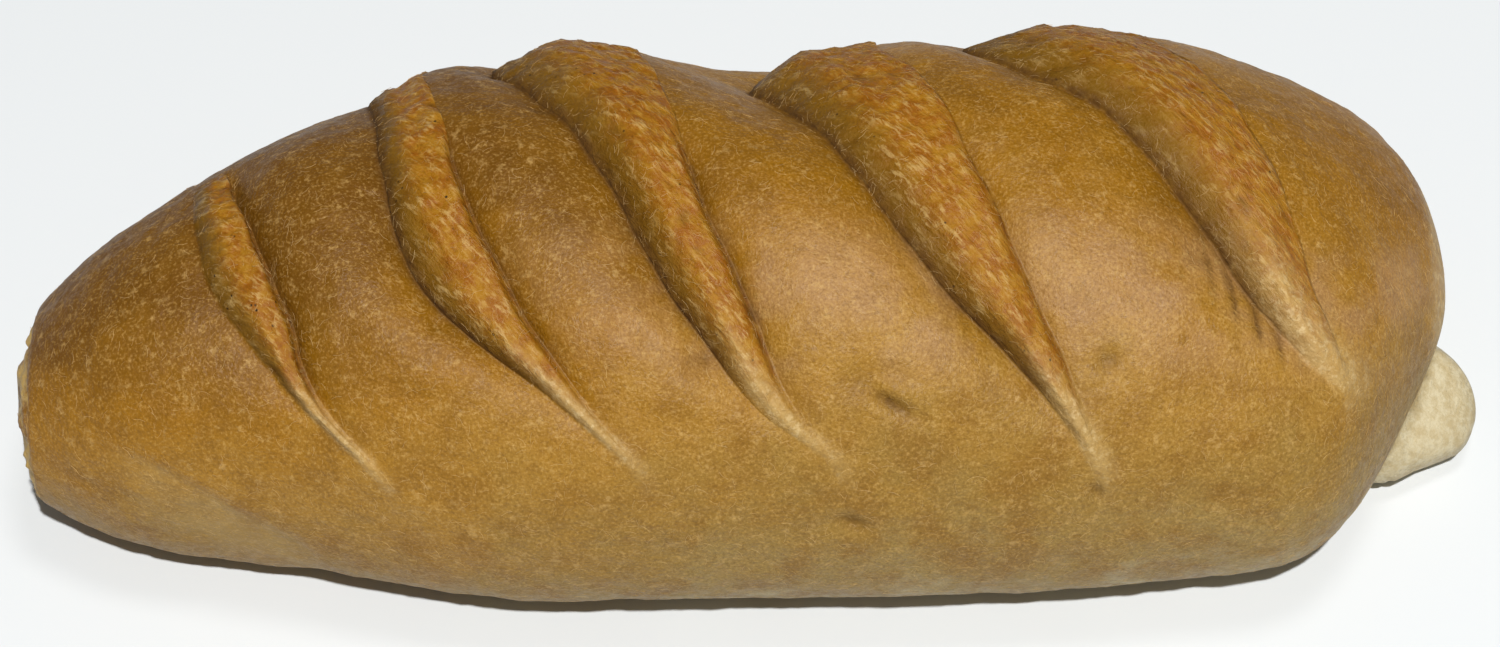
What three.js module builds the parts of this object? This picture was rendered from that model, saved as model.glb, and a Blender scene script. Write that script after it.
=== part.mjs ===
// A hand-shaped white loaf, baked on the oven floor: one solid of bread with
// five diagonal slashes across its crown, a torn patch on its left end where
// it touched a neighbour, and a pale lump of dough burst from its right end.
//
// Millimetres.  +X runs along the loaf to its broad end, +Y across it and +Z up.
// The loaf stands on z = 0, centred on the origin.
//
// A point of the crust is named by x, along the loaf, and by an angle around
// it: 0 degrees is the widest point on the front (-Y) side, 90 is the crown,
// 180 the widest point at the back, and -90 or 270 the middle of the base.

import * as THREE from 'three';

// ---- driving dimensions -------------------------------------------------

// The tips of the loaf, before the lump of burst dough is added.
const LEFT_TIP_X = -147.1;
const RIGHT_TIP_X = 145.6;

// Eleven ribs from the left tip to the right tip, spaced as the cosine of
// equal angles, so they crowd together where the ends round off.
const FRONT_EDGE_Y = [-32, -38, -46, -52, -59.5, -59.5, -58.5, -55.5, -48, -15, 8];
const BACK_EDGE_Y = [-5, 7.5, 22, 41.5, 55, 56, 59, 62, 55.5, 39, 8];
const CROWN_Z = [41, 53, 68, 79, 84.5, 86, 85.5, 81.5, 69, 52, 33];
const WIDEST_Z = [27, 29, 31, 32, 32, 32, 32, 32, 32, 32, 33];
const BELLY_DEPTH = [13, 27, 38, 43, 45, 45, 45, 45, 41, 24, 0];

// Each slash is a torn band between a left and a right crease.  A line lists
// an angle and the x of the two creases there.  The cut is open between its
// ends, and past them the creases run side by side down to the base.  Depths
// are those of the two creases.  The torn dough rises between them.  Over the
// back the strips sit like roof tiles: the crust falls by the drop before the
// slash, lifts on its torn band, and is left standing higher after it.
const SLASHES = [
  {
    ends: [24, 134], depths: [2.4, 4.4], rise: 0.4, lift: 0, after: 0, drop: 0.4,
    line: [
      [20, -70, -68.5], [42, -87, -83], [65, -100, -90],
      [90, -107, -97], [118, -110, -103], [140, -111, -106],
    ],
  },
  {
    ends: [30, 164], depths: [3.8, 3.6], rise: 1.6, lift: 0, after: 3, drop: 0,
    line: [
      [26, -20, -18.5], [42, -34, -29.5], [65, -60, -44.5],
      [90, -70, -55], [118, -73.5, -62], [140, -75.5, -66],
    ],
  },
  {
    ends: [31, 164], depths: [4.4, 3.2], rise: 2, lift: 3, after: 2.2, drop: 0,
    line: [
      [28, 18, 19.5], [42, 3, 9.5], [65, -13.5, 0], [90, -26, -9.5],
      [104, -33, -13], [118, -42.5, -17], [140, -51, -22],
    ],
  },
  {
    ends: [26, 164], depths: [4.4, 2], rise: 2, lift: -0.8, after: 1.8, drop: 6.2,
    line: [
      [22, 70, 71.5], [42, 60, 65.5], [65, 40, 56], [90, 23.5, 46],
      [104, 17, 41], [118, 9.5, 35], [140, 2, 27],
    ],
  },
  {
    ends: [41, 164], depths: [4.8, 0.5], rise: 1.8, lift: 2.4, after: 2, drop: -0.4,
    line: [
      [42, 119, 121], [52, 111.5, 118], [65, 101, 114], [90, 84, 107],
      [104, 73.5, 101], [118, 59, 94], [140, 46, 83],
    ],
  },
];
const FRONT_TAPER = 32;
const BACK_TAPER = 28;
const CREASE_GAP = 1.5;

// How far the shoulders roll down into the two creases.
const LEFT_SHOULDER = 6;
const RIGHT_SHOULDER = 3;
const SHOULDER_POWER = 1.2;
// The angles over which the left crease grows shallow, how much of its depth it
// loses there, and the angles over which the right crease shuts.
const LEFT_FADE_ANGLES = [74, 112];
const LEFT_FADE = 0.85;
const RIGHT_FADE_ANGLES = [88, 112];
const FIRST_RIGHT_FADE_ANGLES = [116, 134];
// Past its ends a slash runs on as a faint line: the angles of the points it
// passes on its way to the middle of the base.
const FOOT_ANGLE = -90;
const FRONT_LOW_ANGLE = -15;
const BACK_LOW_ANGLE = 195;
const BACK_FOOT_ANGLE = 270;
// Where those points lie, as shares of the way between two others.
const FOOT_SHARE = 0.35;
const FRONT_LOW_SHARE = 0.75;
const BACK_LOW_SHARE = 0.45;

// The torn dough climbs from the left crease to a crest, leans down to the
// right, and falls into the right crease.  Shares run across the band.
const BAND_START = 0.04;
const CREST_SHARE = 0.55;
const LIFTED_CREST_SHARE = 0.4;
const CLIMB_POWER = 1.3;
const LEAN = 0.8;
const FALL_SHARE = 0.86;
const FALL_POWER = 2.2;

// Each strip of crust between two slashes swells like a pillow.
const PILLOW_HEIGHT = 1.6;
// The angles between which the tiles lift and drop, and where a tile's step is.
const LIFT_ANGLES = [62, 110, 136, 164];
const DROP_ANGLES = [84, 122, 136, 164];
const STEP_SHARE = 0.45;
const STEP_POWER = 1.4;
const TILE_POWER = 1.6;
const LAST_TILE_REACH = 22;

// The belly stops this far down its curve, where the loaf meets the table.
const LONGEST_FOOT_REACH = 0.965;

// The lump of dough that burst from the base of the right end.
const LUMP_CENTRE = [131, -5.2, 7.5];
const LUMP_RADII = [23.5, 17.5, 20];
const LUMP_ROOT = [116, -2, 16];
// Flat sides of the lump: the way each one faces, and how far it lies from the
// centre.
const LUMP_CUTS = [
  { facing: [0.36, -0.42, 0.83], distance: 14.5 },
  { facing: [0.45, -0.89, 0.05], distance: 17.5 },
];

// The lump flows into the crust where its skin is this close to it, as a share
// of the distance from the root.
const LUMP_BLEND = 0.14;

// Mesh lines: shares of each strip and of each torn band.
const STRIP_SHARES = [0.08, 0.24, 0.5, 0.76, 0.92];
const BAND_SHARES = [0.15, 0.32, 0.5, 0.86];
const LEFT_END_LINES = 11;
const RIGHT_END_LINES = 26;
const SIDE_ROWS = 50;
const BASE_ROWS = 8;

// ---- small helpers ------------------------------------------------------

const radians = (degrees) => (degrees * Math.PI) / 180;
const mix = (a, b, share) => a + (b - a) * share;

function smoothStep(from, to, value) {
  const share = Math.min(1, Math.max(0, (value - from) / (to - from)));
  return share * share * (3 - 2 * share);
}

/** A smooth curve through the points (knots[i], values[i]). */
function curveThrough(knots, values, at) {
  const last = knots.length - 1;
  let i = 0;
  while (i < last - 1 && at > knots[i + 1]) i += 1;
  const slope = (k) => {
    const before = Math.max(0, k - 1);
    const after = Math.min(last, k + 1);
    return (values[after] - values[before]) / (knots[after] - knots[before]);
  };
  const span = knots[i + 1] - knots[i];
  const r = Math.min(1, Math.max(0, (at - knots[i]) / span));
  const start = values[i] * (1 + 2 * r) * (1 - r) ** 2;
  const end = values[i + 1] * r * r * (3 - 2 * r);
  const leave = slope(i) * span * r * (1 - r) ** 2;
  const arrive = slope(i + 1) * span * r * r * (1 - r);
  return start + leave + end - arrive;
}

// ---- the plain loaf, before it is slashed ---------------------------------

const RIB_PLACES = FRONT_EDGE_Y.map((_, i) => i / (FRONT_EDGE_Y.length - 1));

function ribAt(x) {
  const middle = (LEFT_TIP_X + RIGHT_TIP_X) / 2;
  const reach = (RIGHT_TIP_X - LEFT_TIP_X) / 2;
  const share = Math.min(1, Math.max(-1, (x - middle) / reach));
  const place = Math.acos(-share) / Math.PI;
  const read = (values) => curveThrough(RIB_PLACES, values, place);
  const front = read(FRONT_EDGE_Y);
  const back = read(BACK_EDGE_Y);
  const widestZ = read(WIDEST_Z);
  return {
    centreY: (front + back) / 2,
    halfWidth: (back - front) / 2,
    widestZ,
    rise: read(CROWN_Z) - widestZ,
    depth: read(BELLY_DEPTH),
  };
}

/** The angle, under the front edge, at which this rib meets the table. */
function footAngle(rib) {
  const reach = Math.min(LONGEST_FOOT_REACH, rib.widestZ / Math.max(rib.depth, 1e-6));
  return (-Math.asin(reach) * 180) / Math.PI;
}

// ---- the slashes ----------------------------------------------------------

/** The two crease lines of a slash, as x at an angle around the loaf. */
function creaseLines(slash) {
  const angles = slash.line.map(([angle]) => angle);
  const lefts = slash.line.map(([, left]) => left);
  const rights = slash.line.map(([, , right]) => right);
  const first = (lefts[0] + rights[0]) / 2;
  const last = (lefts[lefts.length - 1] + rights[rights.length - 1]) / 2;
  const footX = mix(first, last, FOOT_SHARE);
  const knots = [FOOT_ANGLE, FRONT_LOW_ANGLE, ...angles, BACK_LOW_ANGLE, BACK_FOOT_ANGLE];
  const curve = (values, side) => {
    const offset = (side * CREASE_GAP) / 2;
    const start = [footX + offset, mix(footX, first, FRONT_LOW_SHARE) + offset];
    const end = [mix(footX, last, BACK_LOW_SHARE) + offset, footX + offset];
    const xs = [...start, ...values, ...end];
    return (angle) => curveThrough(knots, xs, angle);
  };
  return { left: curve(lefts, -1), right: curve(rights, 1) };
}

const CREASES = SLASHES.map(creaseLines);

/** How open slash k is at this angle: 0 past its ends, 1 along its middle. */
function openness(k, angle) {
  const [start, end] = SLASHES[k].ends;
  const front = smoothStep(start, start + FRONT_TAPER, angle);
  return front * (1 - smoothStep(end - BACK_TAPER, end, angle));
}

/** 0 outside the first and last angle, 1 between the middle two. */
function bell(angle, [start, full, fade, end]) {
  return smoothStep(start, full, angle) * (1 - smoothStep(fade, end, angle));
}

function leftDepth(k, angle) {
  const [start, end] = LEFT_FADE_ANGLES;
  return SLASHES[k].depths[0] * (1 - LEFT_FADE * smoothStep(start, end, angle));
}

function rightDepth(k, angle) {
  const [start, end] = k === 0 ? FIRST_RIGHT_FADE_ANGLES : RIGHT_FADE_ANGLES;
  return SLASHES[k].depths[1] * (1 - smoothStep(start, end, angle));
}

/** Height of the torn band, from its left crease (share 0) to its right one. */
function bandHeight(k, angle, share) {
  const { rise, lift, after, drop } = SLASHES[k];
  const lifted = bell(angle, LIFT_ANGLES);
  const dropped = bell(angle, DROP_ANGLES);
  const low = leftDepth(k, angle);
  const crestAt = mix(CREST_SHARE, LIFTED_CREST_SHARE, lifted);
  const climb = 1 - (1 - Math.min(1, (share + BAND_START) / crestAt)) ** CLIMB_POWER;
  const lean = 1 - LEAN * smoothStep(crestAt, 1, share);
  const fall = Math.max(0, (share - FALL_SHARE) / (1 - FALL_SHARE)) ** FALL_POWER;
  let torn = (low + rise) * climb - low - rise * (1 - lean);
  torn -= (rise * lean + rightDepth(k, angle)) * fall;
  const step = 1 - (1 - Math.min(1, share / STEP_SHARE)) ** STEP_POWER;
  const settled = mix(lift, after, smoothStep(STEP_SHARE, 1, share));
  return openness(k, angle) * torn + mix(-drop * dropped, settled * lifted, step);
}

/** Height of the smooth strip between slash k - 1 and slash k. */
function stripHeight(k, x, angle) {
  const start = CREASES[k - 1].right(angle);
  const end = CREASES[k].left(angle);
  const share = Math.min(1, Math.max(0, (x - start) / (end - start)));
  const open = Math.min(openness(k - 1, angle), openness(k, angle));
  const pillow = open * PILLOW_HEIGHT * (1 - (2 * share - 1) ** 2);
  const high = SLASHES[k - 1].after * bell(angle, LIFT_ANGLES);
  const low = -SLASHES[k].drop * bell(angle, DROP_ANGLES);
  return pillow + mix(high, low, 1 - (1 - share) ** TILE_POWER);
}

/** Depth of the shoulder that rolls down into the left crease of slash k. */
function leftGroove(k, x, angle) {
  const away = Math.abs(x - CREASES[k].left(angle));
  const roll = Math.exp(-((away / LEFT_SHOULDER) ** SHOULDER_POWER));
  return openness(k, angle) * leftDepth(k, angle) * roll;
}

/** Depth of the shoulder that rolls down into the right crease of slash k. */
function rightGroove(k, x, angle) {
  const away = Math.abs(x - CREASES[k].right(angle));
  return openness(k, angle) * rightDepth(k, angle) * Math.exp(-away / RIGHT_SHOULDER);
}

/** How far the crust stands out from the plain loaf at this place. */
function crustRelief(x, angle) {
  const last = SLASHES.length - 1;
  for (let k = 0; k <= last; k += 1) {
    const left = CREASES[k].left(angle);
    const right = CREASES[k].right(angle);
    if (x < left) {
      const strip = k > 0 ? stripHeight(k, x, angle) - rightGroove(k - 1, x, angle) : 0;
      return strip - leftGroove(k, x, angle);
    }
    if (x <= right) return bandHeight(k, angle, (x - left) / (right - left));
  }
  const away = x - CREASES[last].right(angle);
  const tile = SLASHES[last].after * bell(angle, LIFT_ANGLES);
  return tile * Math.exp(-((away / LAST_TILE_REACH) ** 2)) - rightGroove(last, x, angle);
}

// ---- points of the crust --------------------------------------------------

/** Push a point out to the skin of the burst lump, seen from its root. */
function burstLump(point) {
  const away = point.map((value, i) => value - LUMP_ROOT[i]);
  const from = LUMP_ROOT.map((value, i) => (value - LUMP_CENTRE[i]) / LUMP_RADII[i]);
  const along = away.map((value, i) => value / LUMP_RADII[i]);
  const dot = (a, b) => a[0] * b[0] + a[1] * b[1] + a[2] * b[2];
  const a = dot(along, along);
  const b = dot(along, from);
  const inside = b * b - a * (dot(from, from) - 1);
  if (inside <= 0) return point;
  let stretch = (-b + Math.sqrt(inside)) / a;
  LUMP_CUTS.forEach(({ facing, distance }) => {
    const rootAt = dot(LUMP_ROOT, facing) - dot(LUMP_CENTRE, facing);
    const towards = dot(away, facing);
    if (towards > 0) stretch = Math.min(stretch, (distance - rootAt) / towards);
  });
  if (away[2] < 0) stretch = Math.min(stretch, -LUMP_ROOT[2] / away[2]);
  const past = stretch - 1;
  if (past <= -LUMP_BLEND) return point;
  if (past < LUMP_BLEND) stretch = 1 + (past + LUMP_BLEND) ** 2 / (4 * LUMP_BLEND);
  return LUMP_ROOT.map((value, i) => value + away[i] * stretch);
}

function crustPoint(x, angle) {
  const rib = ribAt(x);
  const cos = -Math.cos(radians(angle));
  const sin = Math.sin(radians(angle));
  const height = sin > 0 ? rib.rise : rib.depth;
  const outY = cos * height;
  const outZ = sin * rib.halfWidth;
  const outLength = Math.hypot(outY, outZ) || 1;
  const relief = crustRelief(x, angle);
  const point = [
    x,
    rib.centreY + rib.halfWidth * cos + (relief * outY) / outLength,
    Math.max(0, rib.widestZ + height * sin + (relief * outZ) / outLength),
  ];
  const pushed = burstLump(point);
  return [pushed[0], pushed[1], Math.max(0, pushed[2])];
}

// ---- the mesh --------------------------------------------------------------

/** Functions giving x at an angle, one for each line of the mesh. */
function meshLines() {
  const lines = [];
  const between = (from, to, share) => (angle) => mix(from(angle), to(angle), share);
  const leftTip = () => LEFT_TIP_X;
  const rightTip = () => RIGHT_TIP_X;
  for (let i = 0; i < LEFT_END_LINES; i += 1) {
    const share = 1 - Math.cos((i / LEFT_END_LINES) * (Math.PI / 2));
    lines.push(between(leftTip, CREASES[0].left, share));
  }
  CREASES.forEach((crease, k) => {
    lines.push(crease.left);
    BAND_SHARES.forEach((share) => lines.push(between(crease.left, crease.right, share)));
    lines.push(crease.right);
    const next = CREASES[k + 1];
    if (next) {
      STRIP_SHARES.forEach((share) => lines.push(between(crease.right, next.left, share)));
    }
  });
  const lastCrease = CREASES[CREASES.length - 1].right;
  for (let i = 1; i < RIGHT_END_LINES; i += 1) {
    const share = Math.sin((i / RIGHT_END_LINES) * (Math.PI / 2));
    lines.push(between(lastCrease, rightTip, share));
  }
  return lines;
}

/** The points of one line of the mesh, once around the loaf. */
function ringPoints(line) {
  const foot = footAngle(ribAt(line(-60)));
  const angles = [];
  for (let i = 0; i < BASE_ROWS; i += 1) {
    angles.push(mix(-90, foot, i / BASE_ROWS));
  }
  for (let i = 0; i <= SIDE_ROWS; i += 1) {
    angles.push(mix(foot, 180 - foot, i / SIDE_ROWS));
  }
  for (let i = 1; i < BASE_ROWS; i += 1) {
    angles.push(mix(180 - foot, 270, i / BASE_ROWS));
  }
  return angles.map((angle) => crustPoint(line(angle), angle));
}

function loafGeometry() {
  const rings = meshLines().map(ringPoints);
  const around = rings[0].length;
  const positions = rings.flat(2);
  const faces = [];
  for (let i = 0; i + 1 < rings.length; i += 1) {
    for (let j = 0; j < around; j += 1) {
      const a = i * around + j;
      const b = i * around + ((j + 1) % around);
      const c = a + around;
      const d = b + around;
      faces.push(a, c, b, b, c, d);
    }
  }
  // Close the torn patch on the left end and the tip of the right end.
  const addTip = (ring, tip, flip) => {
    const tipIndex = positions.length / 3;
    positions.push(...tip);
    for (let j = 0; j < around; j += 1) {
      const a = ring * around + j;
      const b = ring * around + ((j + 1) % around);
      if (flip) faces.push(tipIndex, a, b);
      else faces.push(tipIndex, b, a);
    }
  };
  const leftRib = ribAt(LEFT_TIP_X);
  const rightRib = ribAt(RIGHT_TIP_X);
  addTip(0, [LEFT_TIP_X, leftRib.centreY, leftRib.widestZ], true);
  addTip(rings.length - 1, [RIGHT_TIP_X, rightRib.centreY, rightRib.widestZ], false);

  const geometry = new THREE.BufferGeometry();
  geometry.setAttribute('position', new THREE.Float32BufferAttribute(positions, 3));
  geometry.setIndex(faces);
  geometry.computeBoundingBox();
  const middle = geometry.boundingBox.getCenter(new THREE.Vector3());
  geometry.translate(-middle.x, -middle.y, 0);
  geometry.computeVertexNormals();
  return geometry;
}

// ---- the part ----------------------------------------------------------------

const crust = new THREE.MeshStandardMaterial({ name: 'crust', color: 0xa0743b, roughness: 0.55 });
const loaf = new THREE.Mesh(loafGeometry(), crust);
loaf.name = 'loaf';

const part = new THREE.Group();
part.name = 'slashed_oval_loaf';
part.add(loaf);

export default part;
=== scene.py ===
# %% [markdown]
# # A slashed white loaf, baked on the oven floor
#
# The CAD model says how big the loaf is and where it lies.  This lesson gives
# it its looks: one fine skin of crust that takes the CAD solid's place, a
# material that bakes it, and a plain floor, light and camera.
#
# The CAD model is loaded first, because every size below comes from it.

import bmesh
import bpy
import numpy as np
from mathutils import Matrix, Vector


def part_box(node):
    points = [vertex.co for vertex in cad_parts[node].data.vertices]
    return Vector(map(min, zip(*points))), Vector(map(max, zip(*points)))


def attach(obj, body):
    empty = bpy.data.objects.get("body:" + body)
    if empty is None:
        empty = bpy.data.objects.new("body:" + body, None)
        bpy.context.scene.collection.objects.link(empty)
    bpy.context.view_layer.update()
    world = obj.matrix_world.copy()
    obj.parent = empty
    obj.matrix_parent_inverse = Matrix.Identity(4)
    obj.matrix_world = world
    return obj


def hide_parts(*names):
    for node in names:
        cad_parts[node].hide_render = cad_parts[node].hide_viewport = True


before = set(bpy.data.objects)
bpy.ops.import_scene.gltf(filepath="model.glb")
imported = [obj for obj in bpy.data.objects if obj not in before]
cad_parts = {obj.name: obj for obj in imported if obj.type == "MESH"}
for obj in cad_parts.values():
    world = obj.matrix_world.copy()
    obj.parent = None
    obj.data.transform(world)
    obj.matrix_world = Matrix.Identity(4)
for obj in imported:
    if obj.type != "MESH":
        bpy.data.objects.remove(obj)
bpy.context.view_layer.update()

LOAF_LOW, LOAF_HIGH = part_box("loaf")
LOAF_SIZE = LOAF_HIGH - LOAF_LOW
print("loaf size in mm:", [round(side * 1000, 1) for side in LOAF_SIZE])

# %% [markdown]
# The loaf was shaped in its own millimetres, 301.6 of them from end to end.
# One of them is worked out from the loaded model, so everything here grows
# and shrinks with it.  Blender itself works in metres.

# %% The loaf's own millimetre
LOAF_LENGTH_MM = 301.6
mm = LOAF_SIZE.x / LOAF_LENGTH_MM
print("one loaf millimetre in metres:", round(mm, 6))

# %% [markdown]
# ## The plain loaf
#
# Dough that was rolled by hand has no straight line in it.  It could be
# sculpted, or blown up from a box with subdivision, but then nothing says
# where its widest point or its slashes are.  Here eleven ribs are given from
# tip to tip, and smooth curves run through them.
#
# A point of the crust is named by x and by an angle around the loaf: 0
# degrees is the widest point in front, 90 is the crown, 180 the widest point
# at the back, and -90 or 270 the middle of the base.

# %% Curves through a few points
def mix(low, high, share):
    return low + (high - low) * share


def smooth_step(start, end, value):
    share = np.clip((value - start) / (end - start), 0, 1)
    return share * share * (3 - 2 * share)


def curve_through(knots, values, at):
    """A smooth curve through the points (knots[i], values[i])."""
    knots = np.asarray(knots, float)
    values = np.asarray(values, float)
    at = np.asarray(at, float)
    i = np.clip(np.searchsorted(knots, at) - 1, 0, len(knots) - 2)
    before = np.maximum(np.arange(len(knots)) - 1, 0)
    after = np.minimum(np.arange(len(knots)) + 1, len(knots) - 1)
    slope = (values[after] - values[before]) / (knots[after] - knots[before])
    span = knots[i + 1] - knots[i]
    r = np.clip((at - knots[i]) / span, 0, 1)
    start = values[i] * (1 + 2 * r) * (1 - r) ** 2
    end = values[i + 1] * r * r * (3 - 2 * r)
    leave = slope[i] * span * r * (1 - r) ** 2
    arrive = slope[i + 1] * span * r * r * (1 - r)
    return start + leave + end - arrive


# %% The eleven ribs, in loaf millimetres
LEFT_TIP_X = -147.1
RIGHT_TIP_X = 145.6
FRONT_EDGE_Y = [-32, -38, -46, -52, -59.5, -59.5, -58.5, -55.5, -48, -15, 8]
BACK_EDGE_Y = [-5, 7.5, 22, 41.5, 55, 56, 59, 62, 55.5, 39, 8]
CROWN_Z = [41, 53, 68, 79, 84.5, 86, 85.5, 81.5, 69, 52, 33]
WIDEST_Z = [27, 29, 31, 32, 32, 32, 32, 32, 32, 32, 33]
BELLY_DEPTH = [13, 27, 38, 43, 45, 45, 45, 45, 41, 24, 0]
RIB_PLACES = np.linspace(0, 1, len(FRONT_EDGE_Y))


def ribs_at(x):
    """Centre y, half width, widest z, rise to the crown and belly depth at x."""
    middle = (LEFT_TIP_X + RIGHT_TIP_X) / 2
    reach = (RIGHT_TIP_X - LEFT_TIP_X) / 2
    share = np.clip((np.asarray(x, float) - middle) / reach, -1, 1)
    place = np.arccos(-share) / np.pi
    front, back, crown, widest, belly = (
        curve_through(RIB_PLACES, values, place)
        for values in (FRONT_EDGE_Y, BACK_EDGE_Y, CROWN_Z, WIDEST_Z, BELLY_DEPTH)
    )
    return (front + back) / 2, (back - front) / 2, widest, crown - widest, belly


for x in (-120, 0, 120):
    centre, half, widest, rise, belly = ribs_at(x)
    print(f"at x {x}: {2 * half:.0f} mm wide, {widest + rise:.0f} mm high")

# %% [markdown]
# ## The slashes
#
# The baker cuts the dough across at a slant just before it goes in.  In the
# oven the cut opens: the skin on its left stays as a soft shoulder, and the
# raw dough swells up as a rough torn band.  Cutting these grooves with
# booleans would leave hard edges, so they are written as a height above the
# plain loaf instead, and the lines of the mesh will run along each crease.

# %% Where the creases run
# ends: the angles where a slash begins and ends.  depths: of its left and right
# crease.  rise: how far the torn dough swells up between them.  drop, lift and
# after: the height before the slash, on it and past it, where the strips lie
# like tiles.  pale: reach of the pale ridge at its front end.
SLASHES = [
    # line: (angle, x of the left crease, x of the right crease)
    dict(ends=(24, 134), depths=(2.4, 4.4), rise=0.4, lift=0.0, after=0.0, drop=0.4, pale=2.0, line=[
        (20, -70, -68.5), (42, -87, -83), (65, -100, -90),
        (90, -107, -97), (118, -110, -103), (140, -111, -106)]),
    dict(ends=(30, 164), depths=(3.8, 3.6), rise=1.6, lift=0.0, after=3.0, drop=0.0, pale=2.4, line=[
        (26, -20, -18.5), (42, -34, -29.5), (65, -60, -44.5),
        (90, -70, -55), (118, -73.5, -62), (140, -75.5, -66)]),
    dict(ends=(31, 164), depths=(4.4, 3.2), rise=2.0, lift=3.0, after=2.2, drop=0.0, pale=2.8, line=[
        (28, 18, 19.5), (42, 3, 9.5), (65, -13.5, 0),
        (90, -26, -9.5), (104, -33, -13), (118, -42.5, -17), (140, -51, -22)]),
    dict(ends=(26, 164), depths=(4.4, 2.0), rise=2.0, lift=-0.8, after=1.8, drop=6.2, pale=3.2, line=[
        (22, 70, 71.5), (42, 60, 65.5), (65, 40, 56),
        (90, 23.5, 46), (104, 17, 41), (118, 9.5, 35), (140, 2, 27)]),
    dict(ends=(41, 164), depths=(4.8, 0.5), rise=1.8, lift=2.4, after=2.0, drop=-0.4, pale=6.2, line=[
        (42, 119, 121), (52, 111.5, 118), (65, 101, 114),
        (90, 84, 107), (104, 73.5, 101), (118, 59, 94), (140, 46, 83)]),
]
FRONT_TAPER = 32
BACK_TAPER = 28
CREASE_GAP = 1.5

# A crease is never quite even: the size of its wobble in mm, how often it
# turns, and the parts of the wave it is made of.
CREASE_WOBBLE = 0.65
WOBBLE_RATE = 5
WAVE_CYCLES = (1.0, 2.3, 4.1)
WAVE_SUM = 2.2
FULL_TURN = 6.28

# Past its ends a slash runs on as a faint line through these angles, down to
# the middle of the base.  The shares say how far it has bent back by then.
FRONT_FOOT_ANGLES = (-90, -15)
BACK_FOOT_ANGLES = (195, 270)
FOOT_SHARE = 0.35
FRONT_LOW_SHARE = 0.75
BACK_LOW_SHARE = 0.45


def wave(at, seed):
    """A slow uneven wave between about -1 and 1."""
    rng = np.random.default_rng(seed)
    total = 0
    for cycles in WAVE_CYCLES:
        total = total + np.sin(at * cycles + rng.uniform(0, FULL_TURN)) / cycles**0.5
    return total / WAVE_SUM


def openness(k, angle):
    """How open slash k is at this angle: 0 past its ends, 1 along its middle."""
    start, end = SLASHES[k]["ends"]
    front = smooth_step(start, start + FRONT_TAPER, angle)
    return front * (1 - smooth_step(end - BACK_TAPER, end, angle))


def crease_x(k, side, angle):
    """x of slash k's left (side -1) or right (side 1) crease at an angle."""
    angles, lefts, rights = zip(*SLASHES[k]["line"])
    values = lefts if side < 0 else rights
    first = (lefts[0] + rights[0]) / 2
    last = (lefts[-1] + rights[-1]) / 2
    foot = mix(first, last, FOOT_SHARE)
    offset = side * CREASE_GAP / 2
    start = [foot + offset, mix(foot, first, FRONT_LOW_SHARE) + offset]
    end = [mix(foot, last, BACK_LOW_SHARE) + offset, foot + offset]
    knots = [*FRONT_FOOT_ANGLES, *angles, *BACK_FOOT_ANGLES]
    x = curve_through(knots, [*start, *values, *end], angle)
    wobble = wave(np.radians(angle) * WOBBLE_RATE, 10 * k + side + 1)
    return x + CREASE_WOBBLE * openness(k, angle) * wobble


for k in range(len(SLASHES)):
    widths = [float(crease_x(k, 1, a) - crease_x(k, -1, a)) for a in (50, 80, 110)]
    print(f"slash {k + 1} is", [round(w, 1) for w in widths], "mm wide")

# %% [markdown]
# The height of the crust above the plain loaf is worked out once for every
# point.  Over the back the strips sit like roof tiles: each slash lifts what
# lies to its right, and the strip then falls towards the next slash.

# %% How deep the creases are
# The angles over which the left crease grows shallow, how much of its depth it
# loses there, and the angles over which the right crease closes.
LEFT_FADE_ANGLES = (74, 112)
LEFT_FADE = 0.85
RIGHT_FADE_ANGLES = (88, 112)
FIRST_RIGHT_FADE_ANGLES = (116, 134)

# How far in mm the skin beside a crease rolls down into it.
LEFT_SHOULDER = 6.0
SHOULDER_POWER = 1.2
RIGHT_SHOULDER = 3.0


def left_depth(k, angle):
    """Depth of the left crease: a soft valley in front, hardly any on the crown."""
    return SLASHES[k]["depths"][0] * (1 - LEFT_FADE * smooth_step(*LEFT_FADE_ANGLES, angle))


def right_depth(k, angle):
    """Depth of the right crease, which closes before it reaches the crown."""
    closing = FIRST_RIGHT_FADE_ANGLES if k == 0 else RIGHT_FADE_ANGLES
    return SLASHES[k]["depths"][1] * (1 - smooth_step(*closing, angle))


def groove_beside(k, side, x, angle):
    """Depth of the shoulder that rolls down into one crease of slash k."""
    away = np.abs(x - crease_x(k, side, angle))
    if side < 0:
        roll = np.exp(-((away / LEFT_SHOULDER) ** SHOULDER_POWER))
        return openness(k, angle) * left_depth(k, angle) * roll
    return openness(k, angle) * right_depth(k, angle) * np.exp(-away / RIGHT_SHOULDER)


creases = (left_depth(1, 60), right_depth(1, 60))
print("the creases of slash 2 at 60 degrees are", creases, "mm deep")

# %% [markdown]
# Between its creases the torn dough climbs to a crest, leans down to the right
# and drops into the right crease.  Each strip between two slashes is a pillow.
# On the back both of them also carry the step of the tiles.

# %% How high the torn bands and the strips stand
LIFT_ANGLES = [62, 110, 136, 164]
DROP_ANGLES = [84, 122, 136, 164]
STEP_SHARE = 0.45
STEP_POWER = 1.4
TILE_POWER = 1.6
PILLOW_HEIGHT = 1.6
LAST_TILE_REACH = 22

# Shares run across a band from its left crease to its right one.
BAND_START = 0.04
CREST_SHARE = 0.55
LIFTED_CREST_SHARE = 0.4
CLIMB_POWER = 1.3
LEAN = 0.8
FALL_SHARE = 0.86
FALL_POWER = 2.2


def bell(angle, angles):
    """0 outside the first and last angle, 1 between the middle two."""
    return smooth_step(*angles[:2], angle) * (1 - smooth_step(*angles[2:], angle))


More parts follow.
